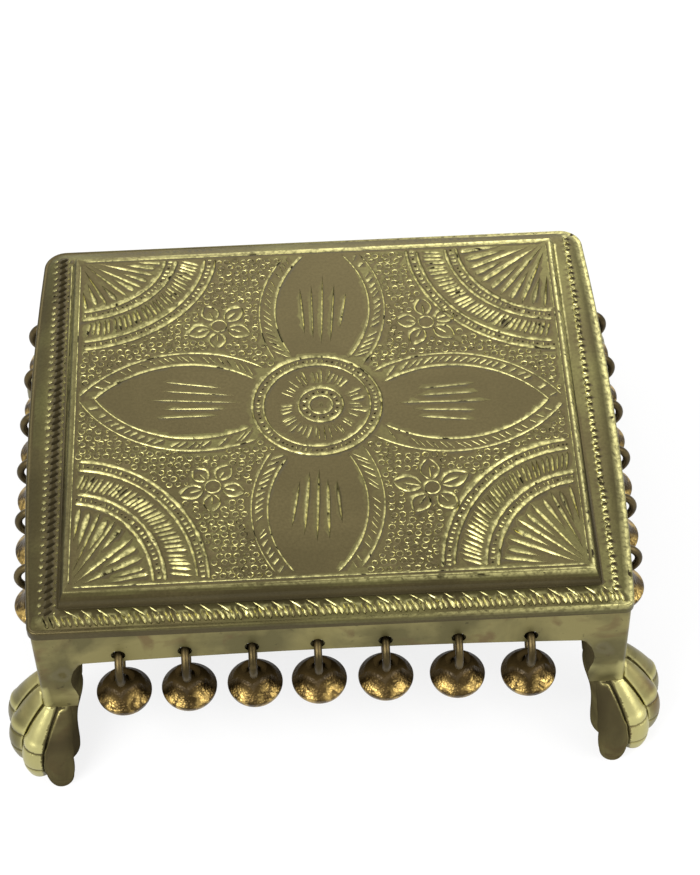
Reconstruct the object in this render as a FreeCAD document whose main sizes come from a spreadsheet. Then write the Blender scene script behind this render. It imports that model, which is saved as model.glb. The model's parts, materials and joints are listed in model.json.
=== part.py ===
"""Brass puja stool: an engraved plate on paw-footed legs, hung all round with jingle bells.

The stool stands on z = 0 with +Z up and its front towards -Y. The origin lies on the floor
under the middle of the plate. Lengths are in millimetres and angles in degrees.
"""
import FreeCAD, Part

import math
import os

import Sketcher
from FreeCAD import Placement, Rotation, Vector

UNIT_X = Vector(1, 0, 0)
UNIT_Y = Vector(0, 1, 0)
UNIT_Z = Vector(0, 0, 1)
QUARTER_TURN = 90
HALF_TURN = 180
FULL_TURN = 360

# Driving sizes: name, value and what it measures.
SIZES = (
    ("stool_height", 90, "floor to the top of the raised panel"),
    ("overrun", 4, "how far a cutting tool runs past the metal"),
    ("slab_width", 223, "plate width at its corners"),
    ("slab_depth", 195, "plate depth, front to back"),
    ("slab_bow", 3.5, "how far each side of the plate bulges at its middle"),
    ("slab_thick", 5.6, "height of the plate's edge"),
    ("slab_edge_round", 1.3, "rounding of the plate's upper edge"),
    ("front_corner_round", 4, "plate's front corners in plan"),
    ("back_corner_round", 9, "plate's back corners in plan"),
    ("panel_width", 195.6, "raised panel at its top"),
    ("panel_depth", 170.4, "raised panel at its top"),
    ("panel_rise", 6.5, "panel top above the border"),
    ("panel_bevel", 2.4, "width of the panel's sloping sides"),
    ("panel_edge_round", 0.5, "rounding of the panel's upper edge"),
    ("plate_wall", 3, "metal left under the panel"),
    ("hollow_inset", 5, "how far the hollow stays inside the panel's foot"),
    ("leg_inset", 0.8, "plate edge to the face of the legs"),
    ("leg_size", 18.5, "square of a leg beside the apron"),
    ("leg_corner_round", 1.6, "outer corner of a leg"),
    ("ankle_size", 12.7, "square of a leg where the paw begins"),
    ("ankle_height", 33, "floor to the foot of the leg's flat faces"),
    ("apron_thick", 3, "apron and side rail wall"),
    ("apron_end_height", 17.3, "apron beside the legs"),
    ("apron_arch", 2.3, "how much higher the apron's lower edge is at its middle"),
    ("apron_corner_round", 2, "inside corner between apron and leg"),
    ("rail_height", 11.7, "side rail"),
    ("rail_inset", 0.5, "plate edge to the face of a side rail"),
    ("hole_radius", 2.7, "hole that a ring hangs in"),
    ("hole_web", 1.1, "metal left below a hole"),
    ("wire_radius", 1.5, "ring wire"),
    ("ring_radius", 7.1, "middle of a ring to the middle of its wire"),
    ("ring_opening", 3, "angle left open where a ring's ends meet"),
    ("hang_gap", 0.25, "clearance between hung pieces"),
    ("bail_wire_radius", 1.2, "bail wire of a bell"),
    ("bail_radius", 3.6, "bail arch, to the middle of its wire"),
    ("bell_drop", 0.8, "ring to the top of the bell below it"),
    ("bell_gap", 3.1, "least space between two bells of one side"),
    ("bell_wall", 1.1, "bell wall"),
    ("bell_seam_radius", 0.5, "raised seam round a bell"),
    ("slot_width", 2.2, "slot across a bell's underside"),
    ("slot_end_radius", 1.9, "round end of the slot"),
    ("slot_end_drop", 3.4, "seam to the middle of the slot's round end"),
    ("pellet_radius", 2.4, "loose pellet in a bell"),
    ("bell_spare", 1.5, "least space between a bell and the leg's face"),
    ("paw_reach", 26.5, "leg axis to the tip of the toes"),
    ("paw_height", 45, "floor to where the toes leave the leg"),
    ("toe_radius", 5.8, "widest part of a toe"),
    ("heel_radius", 9.4, "heel at the floor"),
    ("heel_reach", 9.5, "leg axis to the middle of the heel"),
    ("paw_turn", 32, "how far the middle of a paw turns from the side to the front"),
    ("toe_spread", 28, "angle between two toes"),
)

# A toe from the leg to the floor: reach, height and thickness as shares of the toe's sizes.
TOE_SHARES = (
    (0.30, 0.93, 0.45),
    (0.58, 0.74, 0.70),
    (0.80, 0.56, 0.86),
    (0.95, 0.40, 0.96),
    (1.00, 0.24, 1.00),
    (1.00, 0.105, 0.92),
    (0.96, -0.03, 0.76),
)
# How high each toe leaves the leg, from the front one to the side one.
TOE_RISE_SHARES = (0.74, 0.80, 0.92, 1.00)
# The paw behind its toes: reach, height and thickness as shares of the heel's sizes.
HEEL_SHARES = (
    (0.10, 0.92, 0.62),
    (0.34, 0.72, 0.76),
    (0.80, 0.44, 0.90),
    (1.00, 0.17, 1.00),
    (1.00, -0.02, 0.95),
)
# Height of a bell as a share of its width.
BELL_HEIGHT_SHARE = 0.733
# Places of the bells along each side, as shares of how far the first one may be from the middle.
FRONT_BELL_SHARES = (-0.991, -0.682, -0.371, -0.067, 0.248, 0.587, 0.924)
LEFT_BELL_SHARES = (-0.835, -0.440, -0.070, 0.287, 0.643, 1.000)
RIGHT_BELL_SHARES = (-0.900, -0.530, -0.172, 0.186, 0.542, 0.898)

# Places and sizes that follow from the driving ones.
HALF_WIDTH = "(Sizes.slab_width / 2)"
HALF_DEPTH = "(Sizes.slab_depth / 2)"
SEAM = "(Sizes.stool_height - Sizes.panel_rise - Sizes.slab_thick)"
SIDE_ARC = f"(({HALF_DEPTH}^2 + Sizes.slab_bow^2) / (2 * Sizes.slab_bow))"
SIDE_CENTRE = f"({HALF_WIDTH} + Sizes.slab_bow - {SIDE_ARC})"
LEG_X = f"({HALF_WIDTH} - Sizes.leg_inset)"
LEG_Y = f"({HALF_DEPTH} - Sizes.leg_inset)"
SPAN_X = f"({LEG_X} - Sizes.leg_size)"
SPAN_Y = f"({LEG_Y} - Sizes.leg_size)"
APRON_FOOT = f"({SEAM} - Sizes.apron_end_height)"
ARCH = f"(({SPAN_X}^2 + Sizes.apron_arch^2) / (2 * Sizes.apron_arch))"
ARCH_CENTRE = f"({APRON_FOOT} + Sizes.apron_arch - {ARCH})"
RAIL_FOOT = f"({SEAM} - Sizes.rail_height)"
RAIL_FACE = f"({SIDE_ARC} - Sizes.rail_inset)"
HALF_WALL = "(Sizes.apron_thick / 2)"
FLAT_RUN = f"(sqrt(Sizes.ring_radius^2 - {HALF_WALL}^2))"
# The bells are as large as their spacing allows on the side where they hang closest.
FRONT_STEP = min(b - a for a, b in zip(FRONT_BELL_SHARES, FRONT_BELL_SHARES[1:]))
SIDE_STEP = min(b - a for row in (LEFT_BELL_SHARES, RIGHT_BELL_SHARES) for a, b in zip(row, row[1:]))
FRONT_FIT = f"(({FRONT_STEP} * ({SPAN_X} - Sizes.bell_spare) - Sizes.bell_gap) / ({FRONT_STEP} + 2))"
SIDE_FIT = f"(({SIDE_STEP} * {SPAN_Y} - Sizes.bell_gap) / ({SIDE_STEP} + 2))"
BELL_RADIUS = f"min({FRONT_FIT}; {SIDE_FIT})"
BELL_HALF_HEIGHT = f"({BELL_HEIGHT_SHARE} * {BELL_RADIUS})"
BELL_RUN_X = f"({SPAN_X} - {BELL_RADIUS} - Sizes.bell_spare)"
BELL_RUN_Y = f"({SPAN_Y} - {BELL_RADIUS})"
# The wire bends away from the hole's axis inside the wall, so it rests on the rims of the hole.
RING_DROP = (f"(Sizes.hole_radius - Sizes.hang_gap - Sizes.wire_radius * Sizes.ring_radius / {FLAT_RUN}"
             f" - Sizes.ring_radius + {FLAT_RUN})")
RING_CENTRE = f"({RING_DROP} + Sizes.ring_radius)"
BAIL_TOP = (f"({RING_CENTRE} + Sizes.ring_radius - Sizes.wire_radius"
            " - Sizes.hang_gap - Sizes.bail_wire_radius)")
BELL_TOP = f"({RING_CENTRE} + Sizes.ring_radius + Sizes.wire_radius + Sizes.bell_drop)"
BELL_CENTRE = f"({BELL_TOP} + {BELL_HALF_HEIGHT})"

doc = FreeCAD.newDocument("puja_stool")
sheet = doc.addObject("Spreadsheet::Sheet", "Sizes")
for row, (alias, size, meaning) in enumerate(SIZES, 1):
    sheet.set(f"A{row}", alias.replace("_", " "))
    sheet.set(f"B{row}", str(size))
    sheet.setAlias(f"B{row}", alias)
    sheet.set(f"C{row}", meaning)
doc.recompute()
layout = doc.addObject("App::FeaturePython", "Layout")
layout.addProperty("App::PropertyFloat", "Reading", "Layout", "the place or size that was read last")


def value(expression):
    """The number that an expression over the sheet's sizes gives."""
    layout.setExpression("Reading", expression)
    layout.recompute()
    return layout.Reading


def bind(thing, **expressions):
    """Tie properties of an object to expressions over the sheet."""
    for name, expression in expressions.items():
        thing.setExpression(name, expression)
    return thing


def place(thing, x="0", y="0", z="0", turn=None):
    """Put an object at a point given by expressions, turned by a fixed rotation."""
    if turn is not None:
        thing.Placement = Placement(Vector(), turn)
    thing.setExpression("Placement.Base.x", x)
    thing.setExpression("Placement.Base.y", y)
    thing.setExpression("Placement.Base.z", z)
    return thing


def make(kind, label, **expressions):
    thing = doc.addObject(kind, label)
    thing.Label = label
    return bind(thing, **expressions)


def join(label, pieces):
    thing = make("Part::MultiFuse", label)
    thing.Shapes = pieces
    thing.Refine = True
    return thing


def cut(label, base, tool):
    thing = make("Part::Cut", label)
    thing.Base = base
    thing.Tool = tool
    return thing


def mirror(label, source, normal):
    thing = make("Part::Mirroring", label)
    thing.Source = source
    thing.Normal = normal
    return thing


def rounded(label, base, edges, expression):
    """A copy of a solid with some edges rounded."""
    thing = make("Part::Fillet", label)
    thing.Base = base
    radius = value(expression)
    thing.Edges = [(int(name[len("Edge"):]), radius, radius) for name in edges]
    return thing


def dimension(sketch, kind, refs, expression):
    """Add a sketch dimension that follows an expression."""
    index = sketch.addConstraint(Sketcher.Constraint(kind, *refs, value(expression)))
    sketch.setExpression(f"Constraints[{index}]", expression)


def rectangle(sketch, half_x, half_y):
    """A rectangle about the sketch's origin."""
    x = value(half_x)
    y = value(half_y)
    corners = (Vector(-x, -y, 0), Vector(x, -y, 0), Vector(x, y, 0), Vector(-x, y, 0))
    for n in range(4):
        sketch.addGeometry(Part.LineSegment(corners[n], corners[(n + 1) % 4]), False)
    for n in range(4):
        sketch.addConstraint(Sketcher.Constraint("Coincident", n, 2, (n + 1) % 4, 1))
        sketch.addConstraint(Sketcher.Constraint("Vertical" if n % 2 else "Horizontal", n))
    dimension(sketch, "DistanceX", (0, 1, -1, 1), half_x)
    dimension(sketch, "DistanceX", (-1, 1, 0, 2), half_x)
    dimension(sketch, "DistanceY", (0, 1, -1, 1), half_y)
    dimension(sketch, "DistanceY", (-1, 1, 2, 1), half_y)


def body_sketch(body, label, lift="0"):
    """A sketch on a body's XY plane, lifted along Z."""
    sketch = body.newObject("Sketcher::SketchObject", label)
    plane = [f for f in body.Origin.OriginFeatures if f.Role == "XY_Plane"][0]
    sketch.AttachmentSupport = [(plane, "")]
    sketch.MapMode = "FlatFace"
    sketch.setExpression("AttachmentOffset.Base.z", lift)
    return sketch


def slab_outline(sketch):
    """Straight front and back edges joined by two gently bowed sides."""
    x = value(HALF_WIDTH)
    y = value(HALF_DEPTH)
    arc = value(SIDE_ARC)
    centre = value(SIDE_CENTRE)
    swing = math.asin(y / arc)
    right = Part.Circle(Vector(centre, 0, 0), UNIT_Z, arc)
    left = Part.Circle(Vector(-centre, 0, 0), UNIT_Z, arc)
    sketch.addGeometry(Part.LineSegment(Vector(-x, -y, 0), Vector(x, -y, 0)), False)
    sketch.addGeometry(Part.ArcOfCircle(right, -swing, swing), False)
    sketch.addGeometry(Part.LineSegment(Vector(x, y, 0), Vector(-x, y, 0)), False)
    sketch.addGeometry(Part.ArcOfCircle(left, math.pi - swing, math.pi + swing), False)
    for n in range(4):
        sketch.addConstraint(Sketcher.Constraint("Coincident", n, 2, (n + 1) % 4, 1))
    dimension(sketch, "DistanceX", (0, 1, -1, 1), HALF_WIDTH)
    dimension(sketch, "DistanceX", (-1, 1, 0, 2), HALF_WIDTH)
    dimension(sketch, "DistanceX", (-1, 1, 2, 1), HALF_WIDTH)
    dimension(sketch, "DistanceX", (2, 2, -1, 1), HALF_WIDTH)
    dimension(sketch, "DistanceY", (0, 1, -1, 1), HALF_DEPTH)
    dimension(sketch, "DistanceY", (0, 2, -1, 1), HALF_DEPTH)
    dimension(sketch, "DistanceY", (-1, 1, 2, 1), HALF_DEPTH)
    dimension(sketch, "DistanceY", (-1, 1, 2, 2), HALF_DEPTH)
    dimension(sketch, "Radius", (1,), SIDE_ARC)
    dimension(sketch, "Radius", (3,), SIDE_ARC)


def edges_where(shape, wanted):
    """Names of the edges whose middle and bounds pass a test."""
    names = []
    for n, edge in enumerate(shape.Edges, 1):
        if wanted(edge):
            names.append(f"Edge{n}")
    return names


def near(a, b):
    return abs(a - b) < 1e-4


def upright(edge):
    return near(edge.BoundBox.XLength, 0) and near(edge.BoundBox.YLength, 0)


def level(edge, height):
    return near(edge.BoundBox.ZMin, height) and near(edge.BoundBox.ZLength, 0)


def soften(body, label, base, edges, radius):
    """Round some edges of a body's last feature."""
    fillet = body.newObject("PartDesign::Fillet", label)
    fillet.Base = (base, edges)
    bind(fillet, Radius=radius)
    body.Tip = fillet
    doc.recompute()
    return fillet


def top_plate():
    """The cast plate: a bowed slab, a raised panel with sloping sides, and a hollow under it."""
    body = make("PartDesign::Body", "top_plate")
    outline = body_sketch(body, "slab_outline")
    slab_outline(outline)
    slab = body.newObject("PartDesign::Pad", "slab")
    slab.Profile = outline
    bind(slab, Length="Sizes.slab_thick")
    doc.recompute()
    half_depth = value(HALF_DEPTH)
    front = edges_where(slab.Shape, lambda e: upright(e) and near(e.CenterOfMass.y, -half_depth))
    fronts = soften(body, "front_corners", slab, front, "Sizes.front_corner_round")
    back = edges_where(fronts.Shape, lambda e: upright(e) and near(e.CenterOfMass.y, half_depth))
    backs = soften(body, "back_corners", fronts, back, "Sizes.back_corner_round")
    thick = value("Sizes.slab_thick")
    rim = edges_where(backs.Shape, lambda e: level(e, thick))
    soften(body, "worn_edge", backs, rim, "Sizes.slab_edge_round")

    foot = body_sketch(body, "panel_foot", "Sizes.slab_thick - Sizes.panel_edge_round")
    rise = "(Sizes.panel_rise + Sizes.panel_edge_round)"
    spread = f"(Sizes.panel_bevel * {rise} / Sizes.panel_rise)"
    rectangle(foot, f"Sizes.panel_width / 2 + {spread}", f"Sizes.panel_depth / 2 + {spread}")
    head = body_sketch(body, "panel_head", "Sizes.slab_thick + Sizes.panel_rise")
    rectangle(head, "Sizes.panel_width / 2", "Sizes.panel_depth / 2")
    panel = body.newObject("PartDesign::AdditiveLoft", "panel")
    panel.Profile = foot
    panel.Sections = [head]
    panel.Ruled = True
    body.Tip = panel
    doc.recompute()
    top = value("Sizes.slab_thick + Sizes.panel_rise")
    brow = edges_where(panel.Shape, lambda e: level(e, top))
    soften(body, "panel_edge", panel, brow, "Sizes.panel_edge_round")

    mouth = body_sketch(body, "hollow_mouth")
    inset = "Sizes.hollow_inset"
    rectangle(mouth, f"Sizes.panel_width / 2 - {inset}", f"Sizes.panel_depth / 2 - {inset}")
    hollow = body.newObject("PartDesign::Pocket", "hollow")
    hollow.Profile = mouth
    hollow.Reversed = True
    bind(hollow, Length="Sizes.slab_thick + Sizes.panel_rise - Sizes.plate_wall")
    body.Tip = hollow
    place(body, z=SEAM)
    doc.recompute()
    return body


def circle(centre, normal, radius):
    return Part.Wire(Part.makeCircle(radius, centre, normal))


def toe_form(rise):
    """One toe in the XZ plane, from inside the leg down to just under the floor."""
    run = value("Sizes.paw_reach - Sizes.toe_radius")
    height = value("Sizes.paw_height") * rise
    thick = value("Sizes.toe_radius")
    points = [Vector(u * run, 0, z * height) for u, z, r in TOE_SHARES]
    rounds = []
    for n, (u, z, r) in enumerate(TOE_SHARES):
        ahead = points[min(n + 1, len(points) - 1)] - points[max(n - 1, 0)]
        rounds.append(circle(points[n], ahead, r * thick))
    return Part.makeLoft(rounds, True, False)


def paw_form():
    """The right front paw: toes that fan out from the leg's axis, over a swelling heel."""
    reach = value("Sizes.heel_reach")
    height = value("Sizes.paw_height")
    thick = value("Sizes.heel_radius")
    heel = [circle(Vector(u * reach, 0, z * height), UNIT_Z, r * thick) for u, z, r in HEEL_SHARES]
    paw = Part.makeLoft(heel, True, False)
    spread = value("Sizes.toe_spread")
    for n, rise in enumerate(TOE_RISE_SHARES):
        toe = toe_form(rise)
        toe.rotate(Vector(), UNIT_Z, (n - (len(TOE_RISE_SHARES) - 1) / 2) * spread)
        paw = paw.fuse(toe)
    paw.rotate(Vector(), UNIT_Z, -value("Sizes.paw_turn"))
    axis_x = value(f"{LEG_X} - Sizes.leg_size / 2")
    axis_y = value(f"{LEG_Y} - Sizes.leg_size / 2")
    paw.translate(Vector(axis_x, -axis_y, 0))
    size = value("Sizes.slab_width")
    floor = Part.makeBox(size, size, size, Vector(0, -size, -size))
    return paw.cut(floor)


def right_leg():
    """A square post beside the apron, tapering to the ankle, on its paw."""
    post = make("Part::Box", "leg_post", Length="Sizes.leg_size", Width="Sizes.leg_size",
                Height="Sizes.apron_end_height")
    place(post, SPAN_X, f"-{LEG_Y}", APRON_FOOT)
    shank = make("Part::Wedge", "leg_shank", Ymin="0", Ymax=f"{APRON_FOOT} - Sizes.ankle_height",
                 Xmin=f"{LEG_X} - Sizes.ankle_size", Xmax=LEG_X,
                 Zmin=f"{LEG_Y} - Sizes.ankle_size", Zmax=LEG_Y,
                 X2min=SPAN_X, X2max=LEG_X, Z2min=SPAN_Y, Z2max=LEG_Y)
    place(shank, z="Sizes.ankle_height", turn=Rotation(UNIT_X, QUARTER_TURN))
    square = join("square_leg", [post, shank])
    doc.recompute()
    at_corner = (value(LEG_X), -value(LEG_Y))
    corner = edges_where(square.Shape, lambda e: near(e.CenterOfMass.x, at_corner[0])
                         and near(e.CenterOfMass.y, at_corner[1]))
    leg = rounded("rounded_leg", square, corner, "Sizes.leg_corner_round")
    paw = doc.addObject("Part::Feature", "paw")
    paw.Shape = paw_form()
    return join("right_leg", [leg, paw])


def hole_drill(label, x, y, z, turn):
    drill = make("Part::Cylinder", label, Radius="Sizes.hole_radius",
                 Height="Sizes.apron_thick + 2 * Sizes.overrun")
    return place(drill, x, y, z, turn)


def front_hole(share):
    """Where a ring hangs in the front apron: x and z of the hole's axis."""
    x = f"({share} * {BELL_RUN_X})"
    z = f"({ARCH_CENTRE} + sqrt({ARCH}^2 - {x}^2) + Sizes.hole_web + Sizes.hole_radius)"
    return x, z


def side_hole(share):
    """Where a ring hangs in a side rail: distance from the middle plane, y and z."""
    y = f"({share} * {BELL_RUN_Y})"
    x = f"({SIDE_CENTRE} + sqrt(({RAIL_FACE} - {HALF_WALL})^2 - {y}^2))"
    z = f"({RAIL_FOOT} + Sizes.hole_web + Sizes.hole_radius)"
    return x, y, z


def leg_frames():
    """The front apron and its two legs are one casting, and the back one is its mirror image."""
    right = right_leg()
    left = mirror("left_leg", right, UNIT_X)
    board = make("Part::Box", "apron_board", Length=f"2 * {SPAN_X}", Width="Sizes.apron_thick",
                 Height="Sizes.apron_end_height")
    place(board, f"-{SPAN_X}", f"-{LEG_Y}", APRON_FOOT)
    arch = make("Part::Cylinder", "apron_arch", Radius=ARCH, Height="Sizes.apron_thick + 2 * Sizes.overrun")
    place(arch, "0", f"-{LEG_Y} - Sizes.overrun", ARCH_CENTRE, Rotation(UNIT_X, -QUARTER_TURN))
    apron = cut("arched_apron", board, arch)
    plain = join("plain_frame", [right, left, apron])
    doc.recompute()
    at_corner = (value(SPAN_X), value(f"{HALF_WALL} - {LEG_Y}"), value(APRON_FOOT))
    corners = edges_where(plain.Shape, lambda e: near(abs(e.CenterOfMass.x), at_corner[0])
                          and near(e.CenterOfMass.y, at_corner[1]) and near(e.CenterOfMass.z, at_corner[2]))
    frame = rounded("rounded_frame", plain, corners, "Sizes.apron_corner_round")
    drills = []
    for n, share in enumerate(FRONT_BELL_SHARES, 1):
        x, z = front_hole(share)
        drills.append(hole_drill(f"front_drill_{n}", x, f"-{LEG_Y} - Sizes.overrun", z,
                                 Rotation(UNIT_X, -QUARTER_TURN)))
    front = cut("front_leg_frame", frame, join("front_drills", drills))
    back = mirror("back_leg_frame", front, UNIT_Y)
    return front, back


def rail(label, side, shares):
    """A side rail, bowed with the edge of the plate, between the front and back legs."""
    outer = value(RAIL_FACE)
    inner = value(f"{RAIL_FACE} - Sizes.apron_thick")
    centre = side * value(SIDE_CENTRE)
    y = value(SPAN_Y)
    middle = 0 if side > 0 else math.pi
    sketch = make("Sketcher::SketchObject", f"{label}_outline")
    ends = []
    for radius in (outer, inner):
        ring = Part.Circle(Vector(centre, 0, 0), UNIT_Z, radius)
        swing = math.asin(y / radius)
        arc = Part.ArcOfCircle(ring, middle - swing, middle + swing)
        sketch.addGeometry(arc, False)
        ends.append((arc.StartPoint, arc.EndPoint))
    sketch.addGeometry(Part.LineSegment(ends[0][0], ends[1][0]), False)
    sketch.addGeometry(Part.LineSegment(ends[0][1], ends[1][1]), False)
    for n, end in ((2, 1), (3, 2)):
        sketch.addConstraint(Sketcher.Constraint("Coincident", n, 1, 0, end))
        sketch.addConstraint(Sketcher.Constraint("Coincident", n, 2, 1, end))
        sketch.addConstraint(Sketcher.Constraint("Horizontal", n))
    sketch.addConstraint(Sketcher.Constraint("Coincident", 0, 3, 1, 3))
    sketch.addConstraint(Sketcher.Constraint("PointOnObject", 0, 3, -1))
    if side > 0:
        dimension(sketch, "DistanceX", (0, 3, -1, 1), f"-{SIDE_CENTRE}")
        dimension(sketch, "DistanceY", (0, 1, -1, 1), SPAN_Y)
        dimension(sketch, "DistanceY", (-1, 1, 0, 2), SPAN_Y)
    else:
        dimension(sketch, "DistanceX", (-1, 1, 0, 3), f"-{SIDE_CENTRE}")
        dimension(sketch, "DistanceY", (-1, 1, 0, 1), SPAN_Y)
        dimension(sketch, "DistanceY", (0, 2, -1, 1), SPAN_Y)
    dimension(sketch, "Radius", (0,), RAIL_FACE)
    dimension(sketch, "Radius", (1,), f"{RAIL_FACE} - Sizes.apron_thick")
    place(sketch, z=RAIL_FOOT)
    wall = make("Part::Extrusion", f"{label}_wall", LengthFwd="Sizes.rail_height")
    wall.Base = sketch
    wall.DirMode = "Custom"
    wall.Dir = UNIT_Z
    wall.Solid = True
    drills = []
    for n, share in enumerate(shares, 1):
        x, y, z = side_hole(share)
        start = f"{side} * {x} - {HALF_WALL} - Sizes.overrun"
        drills.append(hole_drill(f"{label}_drill_{n}", start, y, z, Rotation(UNIT_Y, QUARTER_TURN)))
    return cut(label, wall, join(f"{label}_drills", drills))


def bell_forms():
    """The two solids of a bell, below the axis of its hole: the shell with its bail, and the pellet."""
    dome = make("Part::Ellipsoid", "bell_dome", Radius1=BELL_HALF_HEIGHT, Radius2=BELL_RADIUS)
    place(dome, z=f"-{BELL_CENTRE}")
    seam = make("Part::Torus", "bell_seam", Radius1=f"{BELL_RADIUS} - Sizes.bell_seam_radius / 2",
                Radius2="Sizes.bell_seam_radius")
    place(seam, z=f"-{BELL_CENTRE}")
    arch = make("Part::Torus", "bail_arch", Radius1="Sizes.bail_radius", Radius2="Sizes.bail_wire_radius")
    arch.Angle3 = HALF_TURN
    place(arch, z=f"-{BAIL_TOP} - Sizes.bail_radius", turn=Rotation(UNIT_X, QUARTER_TURN))
    limbs = []
    for side in (-1, 1):
        limb = make("Part::Cylinder", f"bail_limb_{'left' if side < 0 else 'right'}",
                    Radius="Sizes.bail_wire_radius",
                    Height=f"{BELL_TOP} + {BELL_HALF_HEIGHT} / 2 - {BAIL_TOP} - Sizes.bail_radius")
        place(limb, f"{side} * Sizes.bail_radius", "0", f"-{BELL_TOP} - {BELL_HALF_HEIGHT} / 2")
        limbs.append(limb)
    solid = join("bell_solid", [dome, seam, arch] + limbs)
    inside = make("Part::Ellipsoid", "bell_inside", Radius1=f"{BELL_HALF_HEIGHT} - Sizes.bell_wall",
                  Radius2=f"{BELL_RADIUS} - Sizes.bell_wall")
    place(inside, z=f"-{BELL_CENTRE}")
    length = f"2 * ({BELL_RADIUS} + Sizes.overrun)"
    slot = make("Part::Box", "bell_slot", Length=length, Width="Sizes.slot_width",
                Height=f"{BELL_HALF_HEIGHT} + Sizes.overrun - Sizes.slot_end_drop")
    place(slot, f"-{BELL_RADIUS} - Sizes.overrun", "-Sizes.slot_width / 2",
          f"-{BELL_CENTRE} - {BELL_HALF_HEIGHT} - Sizes.overrun")
    ends = make("Part::Cylinder", "slot_ends", Radius="Sizes.slot_end_radius", Height=length)
    place(ends, f"-{BELL_RADIUS} - Sizes.overrun", "0", f"-{BELL_CENTRE} - Sizes.slot_end_drop",
          Rotation(UNIT_Y, QUARTER_TURN))
    shell = cut("bell_shell", solid, join("bell_hollow", [inside, slot, ends]))
    pellet = make("Part::Sphere", "pellet", Radius="Sizes.pellet_radius")
    place(pellet, z=f"-{BELL_CENTRE} - {BELL_HALF_HEIGHT} + Sizes.bell_wall"
                    " + Sizes.hang_gap + Sizes.pellet_radius")
    return shell, pellet


def ring_form():
    """A wire ring in the YZ plane, below its hole's axis, with its ends meeting on the -Y side."""
    ring = make("Part::Torus", "ring_form", Radius1="Sizes.ring_radius", Radius2="Sizes.wire_radius",
                Angle3=f"{FULL_TURN} - Sizes.ring_opening")
    upright = Rotation(UNIT_Y, QUARTER_TURN)
    inward = Rotation(UNIT_X, -QUARTER_TURN)
    return place(ring, z=f"-{RING_CENTRE}", turn=inward.multiply(upright))


def hang(label, pieces, x, y, z, turn):
    """A hung piece: the common form, put at its own hole."""
    thing = make("Part::Compound", label)
    thing.Links = pieces
    return place(thing, x, y, z, Rotation(UNIT_Z, turn))


def bells():
    """Every ring and bell with the place of its hole: name, ring, bell, x, y, z and turn about Z."""
    shell, pellet = bell_forms()
    ring = ring_form()
    wall = f"({LEG_Y} - {HALF_WALL})"
    places = []
    for n, share in enumerate(FRONT_BELL_SHARES, 1):
        x, z = front_hole(share)
        places.append((f"front_%s_{n}", x, f"-{wall}", z, HALF_TURN))
    for n, share in enumerate(FRONT_BELL_SHARES, 1):
        x, z = front_hole(share)
        places.append((f"back_%s_{n}", x, wall, z, 0))
    for side, name, shares in ((-1, "left", LEFT_BELL_SHARES), (1, "right", RIGHT_BELL_SHARES)):
        for n, share in enumerate(shares, 1):
            x, y, z = side_hole(share)
            places.append((f"{name}_%s_{n}", f"{side} * {x}", y, z, -side * QUARTER_TURN))
    hung = []
    for name, x, y, z, turn in places:
        hung.append(hang(name % "ring", [ring], x, y, z, turn))
        hung.append(hang(name % "bell", [shell, pellet], x, y, z, turn))
    return hung, places


plate = top_plate()
front_frame, back_frame = leg_frames()
left_rail = rail("left_rail", -1, LEFT_BELL_SHARES)
right_rail = rail("right_rail", 1, RIGHT_BELL_SHARES)
hung_pieces, hung_places = bells()
doc.recompute()

nodes = [plate, front_frame, back_frame, left_rail, right_rail] + hung_pieces

for thing in doc.Objects:
    if "Invalid" in thing.State or "Error" in thing.State:
        raise RuntimeError(f"{thing.Label} did not build: {thing.State}")
for node in nodes:
    if node.Shape.isNull() or not node.Shape.isValid():
        raise RuntimeError(f"{node.Label} has no valid shape")

os.makedirs("parts", exist_ok=True)
for node in nodes:
    node.Shape.exportStep(f"parts/{node.Label}.step")
print(f"{len(nodes)} nodes, {sum(len(node.Shape.Solids) for node in nodes)} solids")
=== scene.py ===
"""Brass puja stool, dressed: engraved plate, cast paw legs, wire rings and jingle bells.

All lengths are metres in the stool's own frame: +Z up, the front towards -Y, the floor at z = 0.
The engraving is laid out in millimetres from the middle of the plate and cut into its faces.
"""
import json
import math
import random

import bmesh
import bpy
from bpy.props import FloatProperty, FloatVectorProperty, PointerProperty
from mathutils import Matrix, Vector, noise
from mathutils.geometry import delaunay_2d_cdt
from mathutils.kdtree import KDTree


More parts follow.
